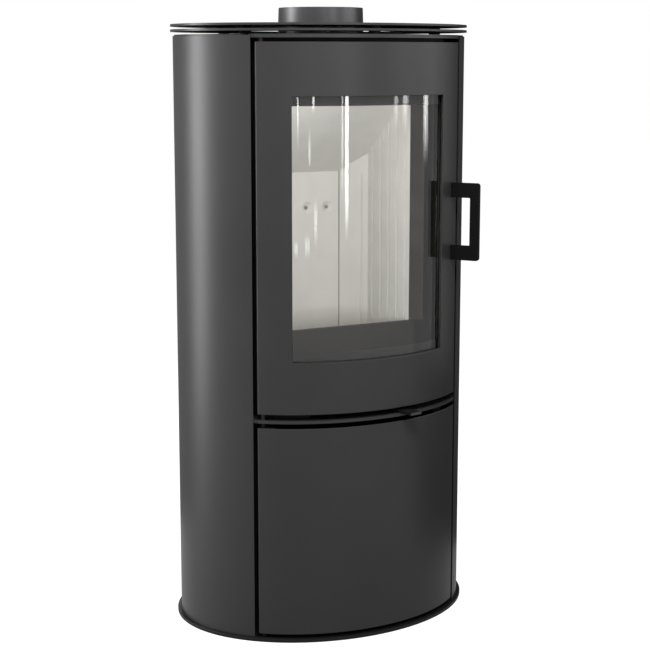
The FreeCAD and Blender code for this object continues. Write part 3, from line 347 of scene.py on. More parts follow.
casing_low, casing_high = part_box("side_casing_right")
casing_edge = door_half_width + DOOR_SIDE_GAP
casing_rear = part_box("rear_cover")[1].x + REAR_SEAM
casing_out = oval_arc(0.0, casing_edge, casing_rear, CASING_POINTS)
casing_in = oval_arc(CASING_SHEET, casing_edge + CASING_SHEET, casing_rear, CASING_POINTS)
fold_end = casing_out[0, 1] + CASING_FOLD
casing_out = np.vstack([[casing_edge, fold_end], casing_out])
casing_in = np.vstack([[casing_edge + CASING_SHEET, fold_end], casing_in])
casing_levels = (casing_low.z, casing_high.z)
MIRROR = np.array([-1.0, 1.0])
right_casing = sheet_between(casing_out, casing_in, casing_levels)
left_casing = sheet_between(casing_out[::-1] * MIRROR, casing_in[::-1] * MIRROR, casing_levels)
finished_piece("side_casing_right", *right_casing, casing_paint, "casing_paint", "stove_body")
finished_piece("side_casing_left", *left_casing, casing_paint, "casing_paint", "stove_body")

# Rear cover
# A rolled sheet with two fields of punched air slots closes the back. Pan-head screws hold it to the two
# posts behind its seams.

VENT_HALF_WIDTH = 0.090
VENT_ROWS = 8
VENT_HEIGHT = 0.006
VENT_PITCH = 0.014
VENT_STARTS = (0.060, 0.850)
COLUMN_STEP = 0.006


def lines_through(stops, step):
    """Grid lines that pass through every stop, spread evenly between neighbours at about the step."""
    spans = [np.linspace(low, high, max(1, round((high - low) / step)), endpoint=False)
             for low, high in zip(stops[:-1], stops[1:])]
    return np.concatenate(spans + [np.array(stops[-1:])])


def oval_front(x_lines, inset, side=-1):
    """The oval's points at given X, drawn in by an inset, on the front, or on the rear with side 1."""
    wide, deep = body_half_width - inset, body_half_depth - inset
    return np.stack([x_lines, side * deep * np.sqrt(1 - (x_lines / wide) ** 2)], axis=1)


def between(lines, low, high):
    """Which cells between neighbouring lines have their middle between two limits."""
    middles = (lines[:-1] + lines[1:]) / 2
    return (middles > low) & (middles < high)


cover_low, cover_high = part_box("rear_cover")
cover_half = cover_high.x
cover_x = lines_through((-cover_half, -VENT_HALF_WIDTH, VENT_HALF_WIDTH, cover_half), COLUMN_STEP)[::-1]
vent_bottoms = np.concatenate([start + VENT_PITCH * np.arange(VENT_ROWS) for start in VENT_STARTS])
vent_edges = np.stack([vent_bottoms, vent_bottoms + VENT_HEIGHT], axis=1).ravel()
cover_z = np.concatenate([[cover_low.z], vent_edges, [cover_high.z]])
vent_rows = np.arange(len(cover_z) - 1) % 2 == 1
vent_columns = between(cover_x, -VENT_HALF_WIDTH, VENT_HALF_WIDTH)
cover_cells = ~(vent_rows[:, None] & vent_columns[None, :])
cover_shape = sheet_between(oval_front(cover_x, 0.0, 1), oval_front(cover_x, CASING_SHEET, 1), cover_z,
                            cover_cells)
finished_piece("rear_cover", *cover_shape, casing_paint, "casing_paint", "stove_body")

SCRATCH_STRETCH = (900.0, 900.0, 60.0)
STEEL_DARK = (0.34, 0.34, 0.34, 1.0)
STEEL_LIGHT = (0.52, 0.52, 0.51, 1.0)
STEEL_ROUGHNESS = 0.26
SCRATCH_ROUGHNESS = 0.2
SCRATCH_BUMP = 0.12
SCRATCH_DEPTH = 0.0001


def bright_steel_finish(name):
    """Turned or zinc-plated steel: scratches drawn out along Z, in the grey and in the gloss."""
    finish = Finish(name)
    stretch = finish.node("ShaderNodeMapping", None, {"Vector": finish.place(), "Scale": SCRATCH_STRETCH})
    scratch = finish.noise(stretch, 1.0, detail=2.0)
    return finish.surface({
        "Base Color": finish.blend(scratch, STEEL_DARK, STEEL_LIGHT),
        "Metallic": 1.0,
        "Roughness": STEEL_ROUGHNESS + scratch * SCRATCH_ROUGHNESS,
        "Normal": finish.bump(scratch, SCRATCH_BUMP, SCRATCH_DEPTH),
    })


bright_steel = bright_steel_finish("bright_steel")
dress(["rear_posts"], black_plate)
dress(["rear_cover_screws"], bright_steel)

# Shelf, firebox shell and ash drawer
# The shelf divides the log store from the firebox, and its front edge shows between the doors. The firebox
# is welded from plate and painted matt black, and the ash pan slides on rails under its floor.

dress(["divider_shelf"], casing_paint)
dress(["firebox_wall_left", "firebox_wall_right", "firebox_back", "firebox_floor", "firebox_roof",
       "front_frame", "air_wash_plate"], black_plate)
dress(["ash_rail_left", "ash_rail_right", "ash_floor", "ash_pan"], black_plate)

# Fire-proof lining
# Pressed cream slabs stand loose in the firebox: fluted sides, mitred corners, a back with dished air jets,
# a hearth slab and a sloped baffle. The surface is dry and matt, with fine pits and darker specks.

LINING_CLOUDS = 22.0
LINING_GRAINS = 420.0
LINING_SPECKS = 750.0
SPECK_LIMIT = 0.68
SPECK_SHARE = 0.3
CREAM_DARK = (0.62, 0.605, 0.565, 1.0)
CREAM_LIGHT = (0.74, 0.73, 0.695, 1.0)
SPECK_BROWN = (0.42, 0.39, 0.34, 1.0)
# The near-black that the lining's painted shade and its darkened front ends blend towards.
SHADE_AND_END_BLACK = (0.014, 0.012, 0.011, 1.0)
END_DEPTH = 0.0006
END_DARKENING = 0.9
END_DARKENING_CLOUD = 0.1
JOINT_HALF = 0.0012
JOINT_DEPTH = 0.002
JOINT_PAINTED_SHADE = 0.33
JOINT_SHADE_CLOUD = 0.4
LINING_ROUGHNESS = 0.85
LINING_GRAIN_ROUGHNESS = 0.1
LINING_SPECULAR = 0.2
PIT_BUMP = 0.35
PIT_DEPTH = 0.0005
slab_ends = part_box("side_liner_right")[0].y + END_DEPTH
joint_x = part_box("back_liner")[1].x
joint_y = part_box("back_liner")[0].y - JOINT_DEPTH


def lining_finish(name, painted_shade=0.0):
    """Pressed mineral slab: cream clouds, specks of coarse grain and pits half a millimetre deep.

    The front ends beside the door are painted nearly black, and the joint between the back slab and the
    corners is painted darker as painted shade for its narrow gap. The last argument is the share of painted
    shade over the whole slab, for a slab that gets less light.
    """
    finish = Finish(name)
    place = finish.place()
    cloud = finish.noise(place, LINING_CLOUDS, detail=4.0)
    grain = finish.noise(place, LINING_GRAINS, detail=3.0)
    specks = finish.noise(place, LINING_SPECKS, detail=1.0) > SPECK_LIMIT
    cream = finish.blend(cloud, CREAM_DARK, CREAM_LIGHT)
    clean = finish.blend(specks * SPECK_SHARE, cream, SPECK_BROWN)
    across = finish.part_of(place, "X")
    from_middle = across.maximum(-1 * across)
    depth = finish.part_of(place, "Y")
    ends = depth < slab_ends
    # The joint between the back slab and the corners is painted darker: painted shade for the narrow gap.
    joint = (from_middle > joint_x - JOINT_HALF) * (from_middle < joint_x + JOINT_HALF) * (depth > joint_y)
    # The front ends beside the door are painted nearly black.
    end_darkening = ends * (END_DARKENING + cloud * END_DARKENING_CLOUD)
    joint_shade = joint * (JOINT_PAINTED_SHADE + cloud * JOINT_SHADE_CLOUD)
    shade_and_ends = painted_shade + end_darkening + joint_shade
    return finish.surface({
        "Base Color": finish.blend(shade_and_ends, clean, SHADE_AND_END_BLACK),
        "Roughness": LINING_ROUGHNESS + grain * LINING_GRAIN_ROUGHNESS,
        "Specular IOR Level": LINING_SPECULAR,
        "Normal": finish.bump(grain, PIT_BUMP, PIT_DEPTH),
    })


# The baffle is painted darker all over: painted shade, as it gets less light than the walls.
BAFFLE_PAINTED_SHADE = 0.11
WALL_SLABS = ("side_liner_left", "side_liner_right", "corner_liner_left", "corner_liner_right", "back_liner",
              "floor_liner")
dress(WALL_SLABS, lining_finish("lining"))
dress(["baffle"], lining_finish("shaded_lining", BAFFLE_PAINTED_SHADE))
LINING_SLABS = WALL_SLABS + ("baffle",)

# Hearth castings
# The grate and the log guard are grey iron, cast in sand and left unpainted, so their skin is rough and
# nearly black.

IRON_SAND = 600.0
IRON_TINGES = 40.0
IRON_SAND_SHARE = 0.3
IRON_DARK = (0.012, 0.012, 0.012, 1.0)
IRON_BROWN = (0.034, 0.030, 0.028, 1.0)
IRON_ROUGHNESS = 0.6
IRON_SAND_ROUGHNESS = 0.2
IRON_SPECULAR = 0.3
SAND_BUMP = 0.5
SAND_DEPTH = 0.0006


def casting_finish(name):
    """Sand-cast iron: a coarse sandy skin with rusty-brown tinges in soft clouds."""
    finish = Finish(name)
    place = finish.place()
    sand = finish.noise(place, IRON_SAND, detail=4.0)
    tinge = finish.noise(place, IRON_TINGES, detail=3.0)
    tone = tinge * (1 - IRON_SAND_SHARE) + sand * IRON_SAND_SHARE
    return finish.surface({
        "Base Color": finish.blend(tone, IRON_DARK, IRON_BROWN),
        "Roughness": IRON_ROUGHNESS + sand * IRON_SAND_ROUGHNESS,
        "Specular IOR Level": IRON_SPECULAR,
        "Normal": finish.bump(sand, SAND_BUMP, SAND_DEPTH),
    })


dress(["log_guard", "grate"], casting_finish("casting"))

# Air lever
# A flat steel lever turns on a shoulder bolt over the shelf and carries the shutter of the air hole. Its
# black tab shows in the gap between the doors, and its front end is painted grey: a painted highlight of the
# lit front face.

LEVER_TURN = math.radians(12.3)
LEVER_TIP = 0.2414
LEVER_HIGHLIGHT_DEPTH = 0.0006
LEVER_DARK = (0.004, 0.004, 0.004, 1.0)
LEVER_LIGHT = (0.010, 0.010, 0.010, 1.0)
HIGHLIGHT_GREY = (0.075, 0.075, 0.075, 1.0)
HIGHLIGHT_SHARE = 0.6
HIGHLIGHT_TOOTH = 0.4
LEVER_ROUGHNESS = 0.6
LEVER_TOOTH_ROUGHNESS = 0.2
LEVER_SPECULAR = 0.1


def lever_finish(name):
    """Matt black paint with a grey painted highlight where the reach out along the lever meets its tip."""
    finish = Finish(name)
    place = finish.place()
    across = finish.part_of(place, "X")
    depth = finish.part_of(place, "Y")
    reach = math.sin(LEVER_TURN) * across - math.cos(LEVER_TURN) * depth
    # Its front end is painted grey: a painted highlight where the front face catches the light.
    painted_highlight = reach > LEVER_TIP - LEVER_HIGHLIGHT_DEPTH
    tooth = finish.noise(place, PLATE_TEETH, detail=2.0)
    black = finish.blend(tooth, LEVER_DARK, LEVER_LIGHT)
    return finish.surface({
        "Base Color": finish.blend(painted_highlight * (HIGHLIGHT_SHARE + tooth * HIGHLIGHT_TOOTH), black, HIGHLIGHT_GREY),
        "Roughness": LEVER_ROUGHNESS + tooth * LEVER_TOOTH_ROUGHNESS,
        "Specular IOR Level": LEVER_SPECULAR,
        "Normal": finish.bump(tooth, TOOTH_BUMP, TOOTH_DEPTH),
    })


dress(["air_lever"], lever_finish("lever_paint"))
dress(["lever_pivot"], bright_steel)

# Body top plate and the floating oval plates
# The body's deck closes the casing. Two thin oval sheets float above it on round spacers: a ring with a wide
# opening and a cap with the flue's hole.

RING_OPENING = (0.190, 0.170)
CAP_HOLE = (0.077, 0.077)
dress(["body_top_plate"], casing_paint)
dress(["ring_spacers", "top_spacers"], black_plate)
for plate_name, hole in (("top_ring", RING_OPENING), ("top_plate", CAP_HOLE)):
    plate_low, plate_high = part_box(plate_name)
    plate_shape = sheet_between(oval_loop(plate_high.x, plate_high.y), oval_loop(*hole),
                                (plate_low.z, plate_high.z), closed=True)
    finished_piece(plate_name, *plate_shape, casing_paint, "casing_paint", "stove_body")

# Flue collar
# A turned steel collar welded to the firebox roof rises through the plates. It tapers slightly above the cap,
# so that a flue pipe slips over or into it, and it is painted a shade darker than the casing.

COLLAR_BORE = 0.072
COLLAR_TAPER = 0.001
COLLAR_TURNS = 128


def ring_grid_faces(rows, columns):
    """Four-sided faces of a grid of points whose last row and column join the first ones again."""
    ids = np.arange(rows * columns).reshape(rows, columns)
    ahead, beside = np.roll(ids, -1, axis=0), np.roll(ids, -1, axis=1)
    return np.stack([ids, beside, np.roll(ahead, -1, axis=1), ahead], axis=-1).reshape(-1, 4)


def turned_tube(radii, heights, count):
    """A closed profile turned about the upright axis: radius times sine and minus cosine, at its height."""
    turn = np.linspace(0, 2 * np.pi, count, endpoint=False)
    radii, heights = np.asarray(radii), np.asarray(heights)
    points = np.stack([radii[:, None] * np.sin(turn), -radii[:, None] * np.cos(turn),
                       np.broadcast_to(heights[:, None], (len(radii), count))], axis=-1)
    return points.reshape(-1, 3), ring_grid_faces(len(radii), count)


COLLAR_DARK = (0.016, 0.016, 0.017, 1.0)
COLLAR_LIGHT = (0.030, 0.031, 0.033, 1.0)
collar_paint = paint_finish("collar_paint", COLLAR_DARK, COLLAR_LIGHT, roughness=0.40, specular=0.6)
collar_low, collar_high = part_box("flue_collar")
cap_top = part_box("top_plate")[1].z
collar_radii = (COLLAR_BORE, collar_high.x, collar_high.x, collar_high.x - COLLAR_TAPER, COLLAR_BORE)
collar_heights = (collar_low.z, collar_low.z, cap_top, collar_high.z, collar_high.z)
collar_shape = turned_tube(collar_radii, collar_heights, COLLAR_TURNS)
finished_piece("flue_collar", *collar_shape, collar_paint, "collar_paint", "stove_body")

# Fire door panel
# A plate rolled to the body's oval with a tall window cut out of it. It hangs on pins at the left and stands
# clear of the casing by a dark gap all round.

DOOR_PLATE = 0.004
DOOR_EDGE = 0.0011
GLASS_LAP = 0.011
door_low, door_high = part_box("door_panel")
glass_low, glass_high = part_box("window_glass")
window_half = glass_high.x - GLASS_LAP
window_bottom, window_top = glass_low.z + GLASS_LAP, glass_high.z - GLASS_LAP


def curved_plate(across, tall, inset, thickness, opening=None):
    """A plate that follows the front oval at an inset, between two X and two Z.

    It has an opening if one is given, as a half-width and two levels. Both sides of the plate have their own
    oval, and the edges stand at constant X.
    """
    x_stops, z_stops = list(across), list(tall)
    if opening:
        half, bottom, top = opening
        x_stops = [across[0], -half, half, across[1]]
        z_stops = [tall[0], bottom, top, tall[1]]
    x_lines = lines_through(x_stops, COLUMN_STEP)
    z_lines = np.array(z_stops)
    cells = np.ones((len(z_lines) - 1, len(x_lines) - 1), bool)
    if opening:
        cells = ~(between(z_lines, bottom, top)[:, None] & between(x_lines, -half, half)[None, :])
    return sheet_between(oval_front(x_lines, inset), oval_front(x_lines, inset + thickness), z_lines, cells)


window_opening = (window_half, window_bottom, window_top)
door_across = (door_low.x, door_high.x)
door_tall = (door_low.z, door_high.z)
door_shape = curved_plate(door_across, door_tall, 0.0, DOOR_PLATE, window_opening)
finished_piece("door_panel", *door_shape, casing_paint, "casing_paint", "door", DOOR_EDGE)

# Inner frame of the fire door
# Bars bent to the oval are welded behind the panel. They hold the glass and carry the rope seal, and they
# are painted matt black.

dress(["door_frame", "door_hinge_sleeves"], black_plate)
dress(["glass_retainer_bottom", "glass_retainer_top", "glass_retainer_sides"], black_plate)

# Seals
# A rope knitted from glass fibre is pressed on the frame's rear face and goes once round it. A thin woven
# tape lies between glass and panel. Both are dark grey.

ROPE_INSET = 0.0241
ROPE_DEPTH = 0.0068
ROPE_WIDTH = 0.0078
ROPE_CORNER = 0.012
ROPE_STEP = 0.0011
ROPE_SIDES = 28
ROPE_SQUARENESS = 0.75
STRANDS_ROUND = 6
STRAND_PITCH = 0.007
STRAND_RELIEF = 0.09
TAPE_INSET = 0.0043
TAPE_SHEET = 0.0014


def rounded_frame(half_width, half_height, radius, step):
    """Points once round an upright rectangle with round corners.

    From the foot on, each side is a straight at full reach, then a quarter turn of the radius.
    """
    reach = np.array([half_width - radius, half_height - radius])
    stretches = []
    for start in np.radians([-90, 0, 90, 180]):
        outward = np.array([np.cos(start), np.sin(start)])
        forward = np.array([-outward[1], outward[0]])
        run = np.abs(forward) @ reach
        side = outward * (np.abs(outward) @ reach)
        along = np.linspace(-run, run, round(2 * run / step), endpoint=False)
        turn = np.linspace(start, start + np.pi / 2, round(radius * np.pi / 2 / step), endpoint=False)
        stretches.append(side + outward * radius + forward * along[:, None])
        stretches.append(side + forward * run + radius * np.stack([np.cos(turn), np.sin(turn)], axis=1))
    return np.vstack(stretches)


def unit(vectors):
    """Each row at length one."""
    return vectors / np.linalg.norm(vectors, axis=-1, keepdims=True)


def braided_ring(half_width, low, high):
    """A rope once round a frame on the oval: a squarish section along the path, raised by crossing strands.

    The section's points go round by angle; each stands out by the larger of two waves, one for the strands
    that wind to the left and one for those that wind to the right.
    """
    path = rounded_frame(half_width, (high - low) / 2, ROPE_CORNER, ROPE_STEP)
    plan = oval_front(path[:, 0], ROPE_INSET)
    centre = np.column_stack([plan, path[:, 1] + (low + high) / 2])
    half_axes = np.array([body_half_width - ROPE_INSET, body_half_depth - ROPE_INSET])
    outward = np.column_stack([unit(plan / half_axes ** 2), np.zeros(len(plan))])
    forward = unit(np.roll(centre, -1, axis=0) - np.roll(centre, 1, axis=0))
    across = unit(np.cross(forward, outward))
    length = np.linalg.norm(np.roll(centre, -1, axis=0) - centre, axis=1).sum()
    winding = np.linspace(0, 2 * np.pi * round(length / STRAND_PITCH), len(path), endpoint=False)[:, None]
    angle = np.linspace(0, 2 * np.pi, ROPE_SIDES, endpoint=False)[None, :]
    strands = np.maximum(np.cos(STRANDS_ROUND * angle + winding), np.cos(STRANDS_ROUND * angle - winding))
    swell = 1 - STRAND_RELIEF * (1 - strands) / 2
    deep = ROPE_DEPTH / 2 * swell * np.sign(np.cos(angle)) * np.abs(np.cos(angle)) ** ROPE_SQUARENESS
    wide = ROPE_WIDTH / 2 * swell * np.sign(np.sin(angle)) * np.abs(np.sin(angle)) ** ROPE_SQUARENESS
    points = centre[:, None] + deep[..., None] * outward[:, None] + wide[..., None] * across[:, None]
    return points.reshape(-1, 3), ring_grid_faces(len(path), ROPE_SIDES)


SEAL_LOOPS = 480.0
SEAL_UNEVENNESS = 0.35
SEAL_FIBRES = 2600.0
SEAL_FIBRE_SHARE = 0.2
LOOP_FALL = 1.4
SEAL_DARK = (0.020, 0.020, 0.020, 1.0)
SEAL_LIGHT = (0.110, 0.108, 0.104, 1.0)
SEAL_ROUGHNESS = 0.85
SEAL_FIBRE_ROUGHNESS = 0.1
SEAL_SPECULAR = 0.2
LOOP_BUMP = 0.7
LOOP_DEPTH = 0.0012


def knitted_finish(name):
    """Knitted glass fibre: loops about two millimetres apart, with painted shade in the dips between them."""
    finish = Finish(name)
    place = finish.place()
    loops = finish.node("ShaderNodeTexVoronoi", None,
                        {"Vector": place, "Scale": SEAL_LOOPS, "Randomness": SEAL_UNEVENNESS})
    fibre = finish.noise(place, SEAL_FIBRES, detail=2.0)
    # The dips between the loops are painted darker: painted shade.
    crown = 1.0 - loops * LOOP_FALL
    tone = crown * (1 - SEAL_FIBRE_SHARE) + fibre * SEAL_FIBRE_SHARE
    return finish.surface({
        "Base Color": finish.blend(tone, SEAL_DARK, SEAL_LIGHT),
        "Roughness": SEAL_ROUGHNESS + fibre * SEAL_FIBRE_ROUGHNESS,
        "Specular IOR Level": SEAL_SPECULAR,
        "Normal": finish.bump(crown, LOOP_BUMP, LOOP_DEPTH),
    })


knitted_seal = knitted_finish("knitted_seal")
rope_low, rope_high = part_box("door_rope")
rope_shape = braided_ring(rope_high.x - ROPE_WIDTH / 2, rope_low.z + ROPE_WIDTH / 2,
                          rope_high.z - ROPE_WIDTH / 2)
finished_piece("door_rope", *rope_shape, knitted_seal, "seal", "door", edge=None)
glass_across = (glass_low.x, glass_high.x)
glass_tall = (glass_low.z, glass_high.z)
tape_shape = curved_plate(glass_across, glass_tall, TAPE_INSET, TAPE_SHEET, window_opening)
finished_piece("glass_tape", *tape_shape, knitted_seal, "seal", "door", edge=None)

# Window
# One sheet of clear ceramic glass, bent to the oval, lies behind the panel with a lap all round. It is
# polished on both sides and carries only a breath of haze.

GLASS_INSET = 0.006
GLASS_SHEET = 0.004
GLASS_TINT = (0.985, 0.985, 0.98, 1.0)
MIRRORED_AT_FRONT = 0.02
SLANT_POWER = 5
HAZE_CLOUDS = 9.0
HAZE_SHARE = 0.006


def window_finish(name):
    """Clear glass: light goes straight through, but for a share that is mirrored.

    That share is the same from both sides: what is mirrored straight on, and the rest times the fifth power
    of one minus the angle's cosine. A faint haze adds to it.
    """
    finish = Finish(name)
    haze = finish.noise(finish.place(), HAZE_CLOUDS, detail=3.0)
    slant = finish.node("ShaderNodeLayerWeight", None, {"Blend": 0.5}, "Facing")
    mirrored = MIRRORED_AT_FRONT + (1 - MIRRORED_AT_FRONT) * slant ** SLANT_POWER
    clear = finish.node("ShaderNodeBsdfTransparent", None, {"Color": GLASS_TINT})
    shine = finish.node("ShaderNodeBsdfGlossy", None, {"Color": (1.0, 1.0, 1.0, 1.0), "Roughness": 0.0})
    share = mirrored + haze * HAZE_SHARE
    return finish.show(finish.node("ShaderNodeMixShader", None, {0: share, 1: clear, 2: shine}))


glass_shape = curved_plate(glass_across, glass_tall, GLASS_INSET, GLASS_SHEET)
finished_piece("window_glass", *glass_shape, window_finish("clear_glass"), "window", "door")

# Door handle
# A flat loop cut from 8 mm plate stands square on the panel at its right edge, screwed on from behind. Its
# outer corners are rounded, and it is painted satin black.

HANDLE_BLACK_DARK = (0.003, 0.003, 0.003, 1.0)
HANDLE_BLACK_LIGHT = (0.007, 0.007, 0.007, 1.0)
handle_paint = paint_finish("handle_paint", HANDLE_BLACK_DARK, HANDLE_BLACK_LIGHT, roughness=0.45,
                            specular=0.05)
HANDLE_X = 0.1759
HANDLE_REACH = 0.053
HANDLE_GRIP = 0.017
HANDLE_ARM = 0.026
HANDLE_THICKNESS = 0.008
HANDLE_CORNER = 0.005
HANDLE_INNER_CORNER = 0.001
HANDLE_SEAT = 0.0004
HANDLE_EDGE = 0.0008
CORNER_POINTS = 9


def loop_outline(reach, level, radius, height):
    """A loop's outline, as its lower half and that half's mirror image at the height.

    The lower half goes out from the door at a level, turns up round a quarter and ends at the reach.
    """
    quarter = np.linspace(0, np.pi / 2, CORNER_POINTS)
    bend = radius * np.stack([np.sin(quarter), 1 - np.cos(quarter)], axis=1)
    lower = np.vstack([[HANDLE_SEAT, level], np.array([reach - radius, level]) + bend])
    upper = np.array([0.0, height]) + lower[::-1] * np.array([1.0, -1.0])
    return np.vstack([lower, upper])


handle_low, handle_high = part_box("door_handle")
handle_height = handle_high.z - handle_low.z
handle_foot = oval_front(np.array([HANDLE_X]), 0.0)[0]
handle_out = unit(handle_foot / np.array([body_half_width, body_half_depth]) ** 2)
handle_across = np.array([handle_out[1], -handle_out[0]])
loop_points, loop_faces = sheet_between(
    loop_outline(HANDLE_REACH, 0.0, HANDLE_CORNER, handle_height),
    loop_outline(HANDLE_REACH - HANDLE_GRIP, HANDLE_ARM, HANDLE_INNER_CORNER, handle_height),
    (-HANDLE_THICKNESS / 2, HANDLE_THICKNESS / 2))
handle_plan = handle_foot + loop_points[:, :1] * handle_out + loop_points[:, 2:] * handle_across
handle_points = np.column_stack([handle_plan, handle_low.z + loop_points[:, 1]])
finished_piece("door_handle", handle_points, loop_faces, handle_paint, "handle_paint", "door", HANDLE_EDGE)
dress(["handle_screws", "latch_tongue"], bright_steel)

# Hinges and catches
# Turned pins stand in the gaps over and under the doors. A roller on a bracket holds the fire door by its
# tongue, and a magnet holds the lower door by a small plate.

dress(["door_hinge_pins"], casing_paint)
dress(["lower_hinge_pins", "magnet_catch"], black_plate)
dress(["latch_bracket", "latch_pin", "latch_roller", "catch_plate"], bright_steel)

# Log-store door
# A plain steel plate rolled to the same oval and painted like the casing. It hangs on the same hinge line,
# with its sleeves welded behind it.

lower_low, lower_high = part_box("lower_door_panel")
lower_shape = curved_plate((lower_low.x, lower_high.x), (lower_low.z, lower_high.z), 0.0, DOOR_PLATE)
finished_piece("lower_door_panel", *lower_shape, casing_paint, "casing_paint", "lower_door", DOOR_EDGE)
dress(["lower_hinge_sleeves"], black_plate)

# Studio
# A wide pale floor under a white surround, tall strip lamps that draw the upright highlights on the paint and
# in the glass, and the camera where the photograph was taken from.

scene = bpy.context.scene
scene.view_settings.view_transform = "Standard"
SHADOW_TONE = 0.22
FLOOR_GLOW = 0.925
FLOOR_BOUNCE = 0.2
FLOOR_HALF = 12.0
SHADED_FLOOR = 0.3
SHADE_START = 0.30
SHADE_END = 1.6
DIFFUSE_SURROUND = 0.45


def seen_rays(finish):
    """1 for rays from the camera or a mirror or through glass, 0 for the rest."""
    camera = finish.node("ShaderNodeLightPath", output="Is Camera Ray")
    mirror = finish.node("ShaderNodeLightPath", output="Is Glossy Ray")
    through = finish.node("ShaderNodeLightPath", output="Is Transmission Ray")
    return camera.maximum(mirror).maximum(through)


floor_finish = Finish("studio_floor")
floor_body = floor_finish.node("ShaderNodeBsdfDiffuse", None, {"Color": (SHADOW_TONE,) * 3 + (1.0,)})
floor_reach = floor_finish.node("ShaderNodeVectorMath", {"operation": "LENGTH"}, {0: floor_finish.place()},
                                "Value")
floor_open = SHADED_FLOOR + (1 - SHADED_FLOOR) * floor_finish.rise(floor_reach, SHADE_START, SHADE_END)
floor_direct = floor_finish.node("ShaderNodeLightPath", output="Is Camera Ray")
floor_seen = floor_direct.maximum(seen_rays(floor_finish) * floor_open)
floor_shine = FLOOR_BOUNCE + floor_seen * (FLOOR_GLOW - FLOOR_BOUNCE)
floor_glow = floor_finish.node("ShaderNodeEmission", None, {"Strength": floor_shine})
floor_both = floor_finish.node("ShaderNodeAddShader", None, {0: floor_body, 1: floor_glow})
floor_mesh = bpy.data.meshes.new("studio_floor")
floor_corners = np.array([[-1, -1, 0], [1, -1, 0], [1, 1, 0], [-1, 1, 0]]) * FLOOR_HALF
floor_mesh.from_pydata(floor_corners.tolist(), [], [[0, 1, 2, 3]])
floor_mesh.materials.append(floor_finish.show(floor_both))
floor = bpy.data.objects.new("studio_floor", floor_mesh)
scene.collection.objects.link(floor)

surround = Finish("studio_surround", bpy.data.worlds)
surround_level = DIFFUSE_SURROUND + seen_rays(surround) * (1.0 - DIFFUSE_SURROUND)
backdrop = surround.node("ShaderNodeBackground", None,
                         {"Color": (1.0, 1.0, 1.0, 1.0), "Strength": surround_level})
scene.world = surround.show(backdrop, "ShaderNodeOutputWorld")


def lamp(name, azimuth, distance, height, size, power, aim=0.6, mirrored=True):
    """An upright rectangle of light at an azimuth from the front towards the right, turned to the stove."""
    light = bpy.data.lights.new(name, "AREA")
    light.shape = "RECTANGLE"
    light.size, light.size_y = size
    light.energy = power
    holder = bpy.data.objects.new(name, light)
    scene.collection.objects.link(holder)
    turn = math.radians(azimuth)
    holder.location = (distance * math.sin(turn), -distance * math.cos(turn), height)
    tilt = math.atan2(aim - height, distance)
    holder.rotation_euler = (math.pi / 2 + tilt, 0.0, turn)
    holder.visible_camera = False
    holder.visible_glossy = mirrored
    return holder


lamp("left_strip", azimuth=-115.0, distance=1.8, height=1.12, size=(0.52, 1.1), power=38.0, aim=1.12)
lamp("left_foot", azimuth=-115.0, distance=1.8, height=0.30, size=(0.52, 0.45), power=9.5, aim=0.30)
lamp("right_rim", azimuth=165.0, distance=2.2, height=0.95, size=(0.35, 1.3), power=16.0, aim=0.95)
lamp("back_fill", azimuth=175.0, distance=2.4, height=1.2, size=(1.0, 1.0), power=14.0, mirrored=False)
high_key = lamp("high_key", azimuth=-20.0, distance=1.3, height=1.9, size=(0.9, 0.5), power=33.0, aim=0.75,
                mirrored=False)
firebox_lamps = (
    lamp("firebox_front", azimuth=-20.0, distance=2.2, height=0.74, size=(0.6, 0.5), power=27.0,
         mirrored=False),
    lamp("firebox_side", azimuth=-58.0, distance=2.0, height=0.8, size=(1.0, 1.0), power=18.0,
         mirrored=False),
    lamp("firebox_head", azimuth=-30.0, distance=0.165, height=0.86, size=(0.12, 0.08), power=0.19, aim=0.76,
         mirrored=False),
)

# The lining has lamps of its own and gets no light from the high one.
lining_pieces = bpy.data.collections.new("lining_pieces")
shaded_pieces = bpy.data.collections.new("shaded_pieces")
for slab in LINING_SLABS:
    lining_pieces.objects.link(nodes[slab])
    shaded_pieces.objects.link(nodes[slab])
for member in shaded_pieces.collection_objects:
    member.light_linking.link_state = "EXCLUDE"
high_key.light_linking.receiver_collection = shaded_pieces
for firebox_lamp in firebox_lamps:
    firebox_lamp.light_linking.receiver_collection = lining_pieces

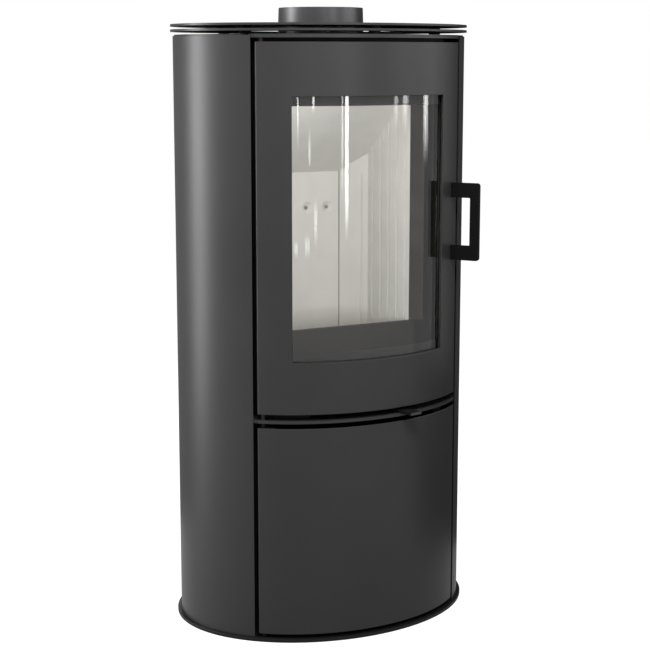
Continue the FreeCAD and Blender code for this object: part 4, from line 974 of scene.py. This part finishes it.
# Name, azimuth, distance, width, the levels where it starts, is full, begins to fade and ends, and strength
STRIPS = (
    ("strip_far_left", -24.9, 3.0, 0.05, (0.66, 0.84, 1.8, 1.9), 14.0),
    ("strip_left", -14.4, 3.0, 0.09, (0.80, 0.85, 1.8, 1.9), 15.0),
    ("strip_twin", 4.5, 3.0, 0.04, (0.45, 0.75, 1.8, 1.9), 14.0),
    ("strip_front", 7.4, 3.0, 0.10, (0.34, 0.62, 1.8, 1.9), 26.0),
    ("strip_right", 41.1, 3.0, 0.12, (0.74, 0.88, 1.8, 1.9), 11.0),
    ("strip_far_right", 48.3, 3.0, 0.19, (0.72, 0.88, 1.8, 1.9), 11.0),
    ("strip_side", 66.9, 3.0, 0.18, (0.61, 0.80, 1.8, 1.9), 14.0),
    ("glint_high", -17.0, 3.0, 0.07, (0.615, 0.65, 0.66, 0.77), 9.0),
    ("glint_tall", -13.0, 3.0, 0.11, (0.325, 0.42, 0.44, 0.52), 7.0),
    ("glint_low", -26.4, 3.0, 0.12, (0.300, 0.330, 0.340, 0.370), 7.0),
    ("glint_broad", -18.6, 3.0, 0.17, (0.295, 0.345, 0.350, 0.390), 6.5),
    ("card_right", 118.0, 0.45, 0.8, (0.0, 0.01, 1.2, 1.3), 0.08),
    ("card_low_right", 76.0, 0.55, 0.6, (0.0, 0.01, 0.39, 0.40), 0.05),
    ("card_mid_right", 64.5, 0.92, 0.40, (0.30, 0.31, 0.65, 0.66), 0.75),
    ("card_far_right", 64.5, 3.3, 1.34, (0.0, 0.01, 2.5, 2.6), 0.75),
    ("card_left", -165.0, 0.65, 1.4, (0.0, 0.01, 1.2, 1.3), 0.22),
)


def mirror_strip(name, azimuth, distance, width, levels, strength):
    """An upright strip that only glossy faces show, fading into the white surround at its foot and top.

    One weaker than the surround is a dark card, which has no fade and takes no part in the lighting.
    """
    foot, full, head, top = levels
    finish = Finish(name)
    level = finish.part_of(finish.place(), "Z")
    lit = finish.rise(level, foot, full) * finish.rise(level, top, head)
    end_tone = min(1.0, 1.0 / strength)
    colour = finish.blend(lit, (end_tone, end_tone, end_tone, 1.0), (1.0, 1.0, 1.0, 1.0))
    material = finish.show(finish.node("ShaderNodeEmission", None, {"Color": colour, "Strength": strength}))
    if strength < 1.0:
        material.cycles.emission_sampling = "NONE"
    turn = math.radians(azimuth)
    outward = np.array([math.sin(turn), -math.cos(turn)])
    half = width / 2 * np.array([math.cos(turn), math.sin(turn)])
    left, right = distance * outward - half, distance * outward + half
    corners = [[*left, top], [*right, top], [*right, foot], [*left, foot]]
    mesh = bpy.data.meshes.new(name)
    mesh.from_pydata(corners, [], [[0, 1, 2, 3]])
    mesh.materials.append(material)
    strip = bpy.data.objects.new(name, mesh)
    scene.collection.objects.link(strip)
    strip.visible_camera = False
    strip.visible_diffuse = False
    strip.visible_shadow = False


for strip_values in STRIPS:
    mirror_strip(*strip_values)

CAMERA_PLACE = (-1.2640, -2.4419, 1.0005)
CAMERA_PITCH = -9.699
CAMERA_YAW = 27.526
CAMERA_LENS = 84.99
CAMERA_SENSOR = 36.0
CAMERA_SHIFT = -0.0107
camera_data = bpy.data.cameras.new("camera")
camera_data.lens = CAMERA_LENS
camera_data.sensor_width = CAMERA_SENSOR
camera_data.shift_y = CAMERA_SHIFT
camera = bpy.data.objects.new("camera", camera_data)
scene.collection.objects.link(camera)
camera.location = CAMERA_PLACE
camera.rotation_euler = (math.radians(90 + CAMERA_PITCH), 0.0, math.radians(-CAMERA_YAW))
scene.camera = camera
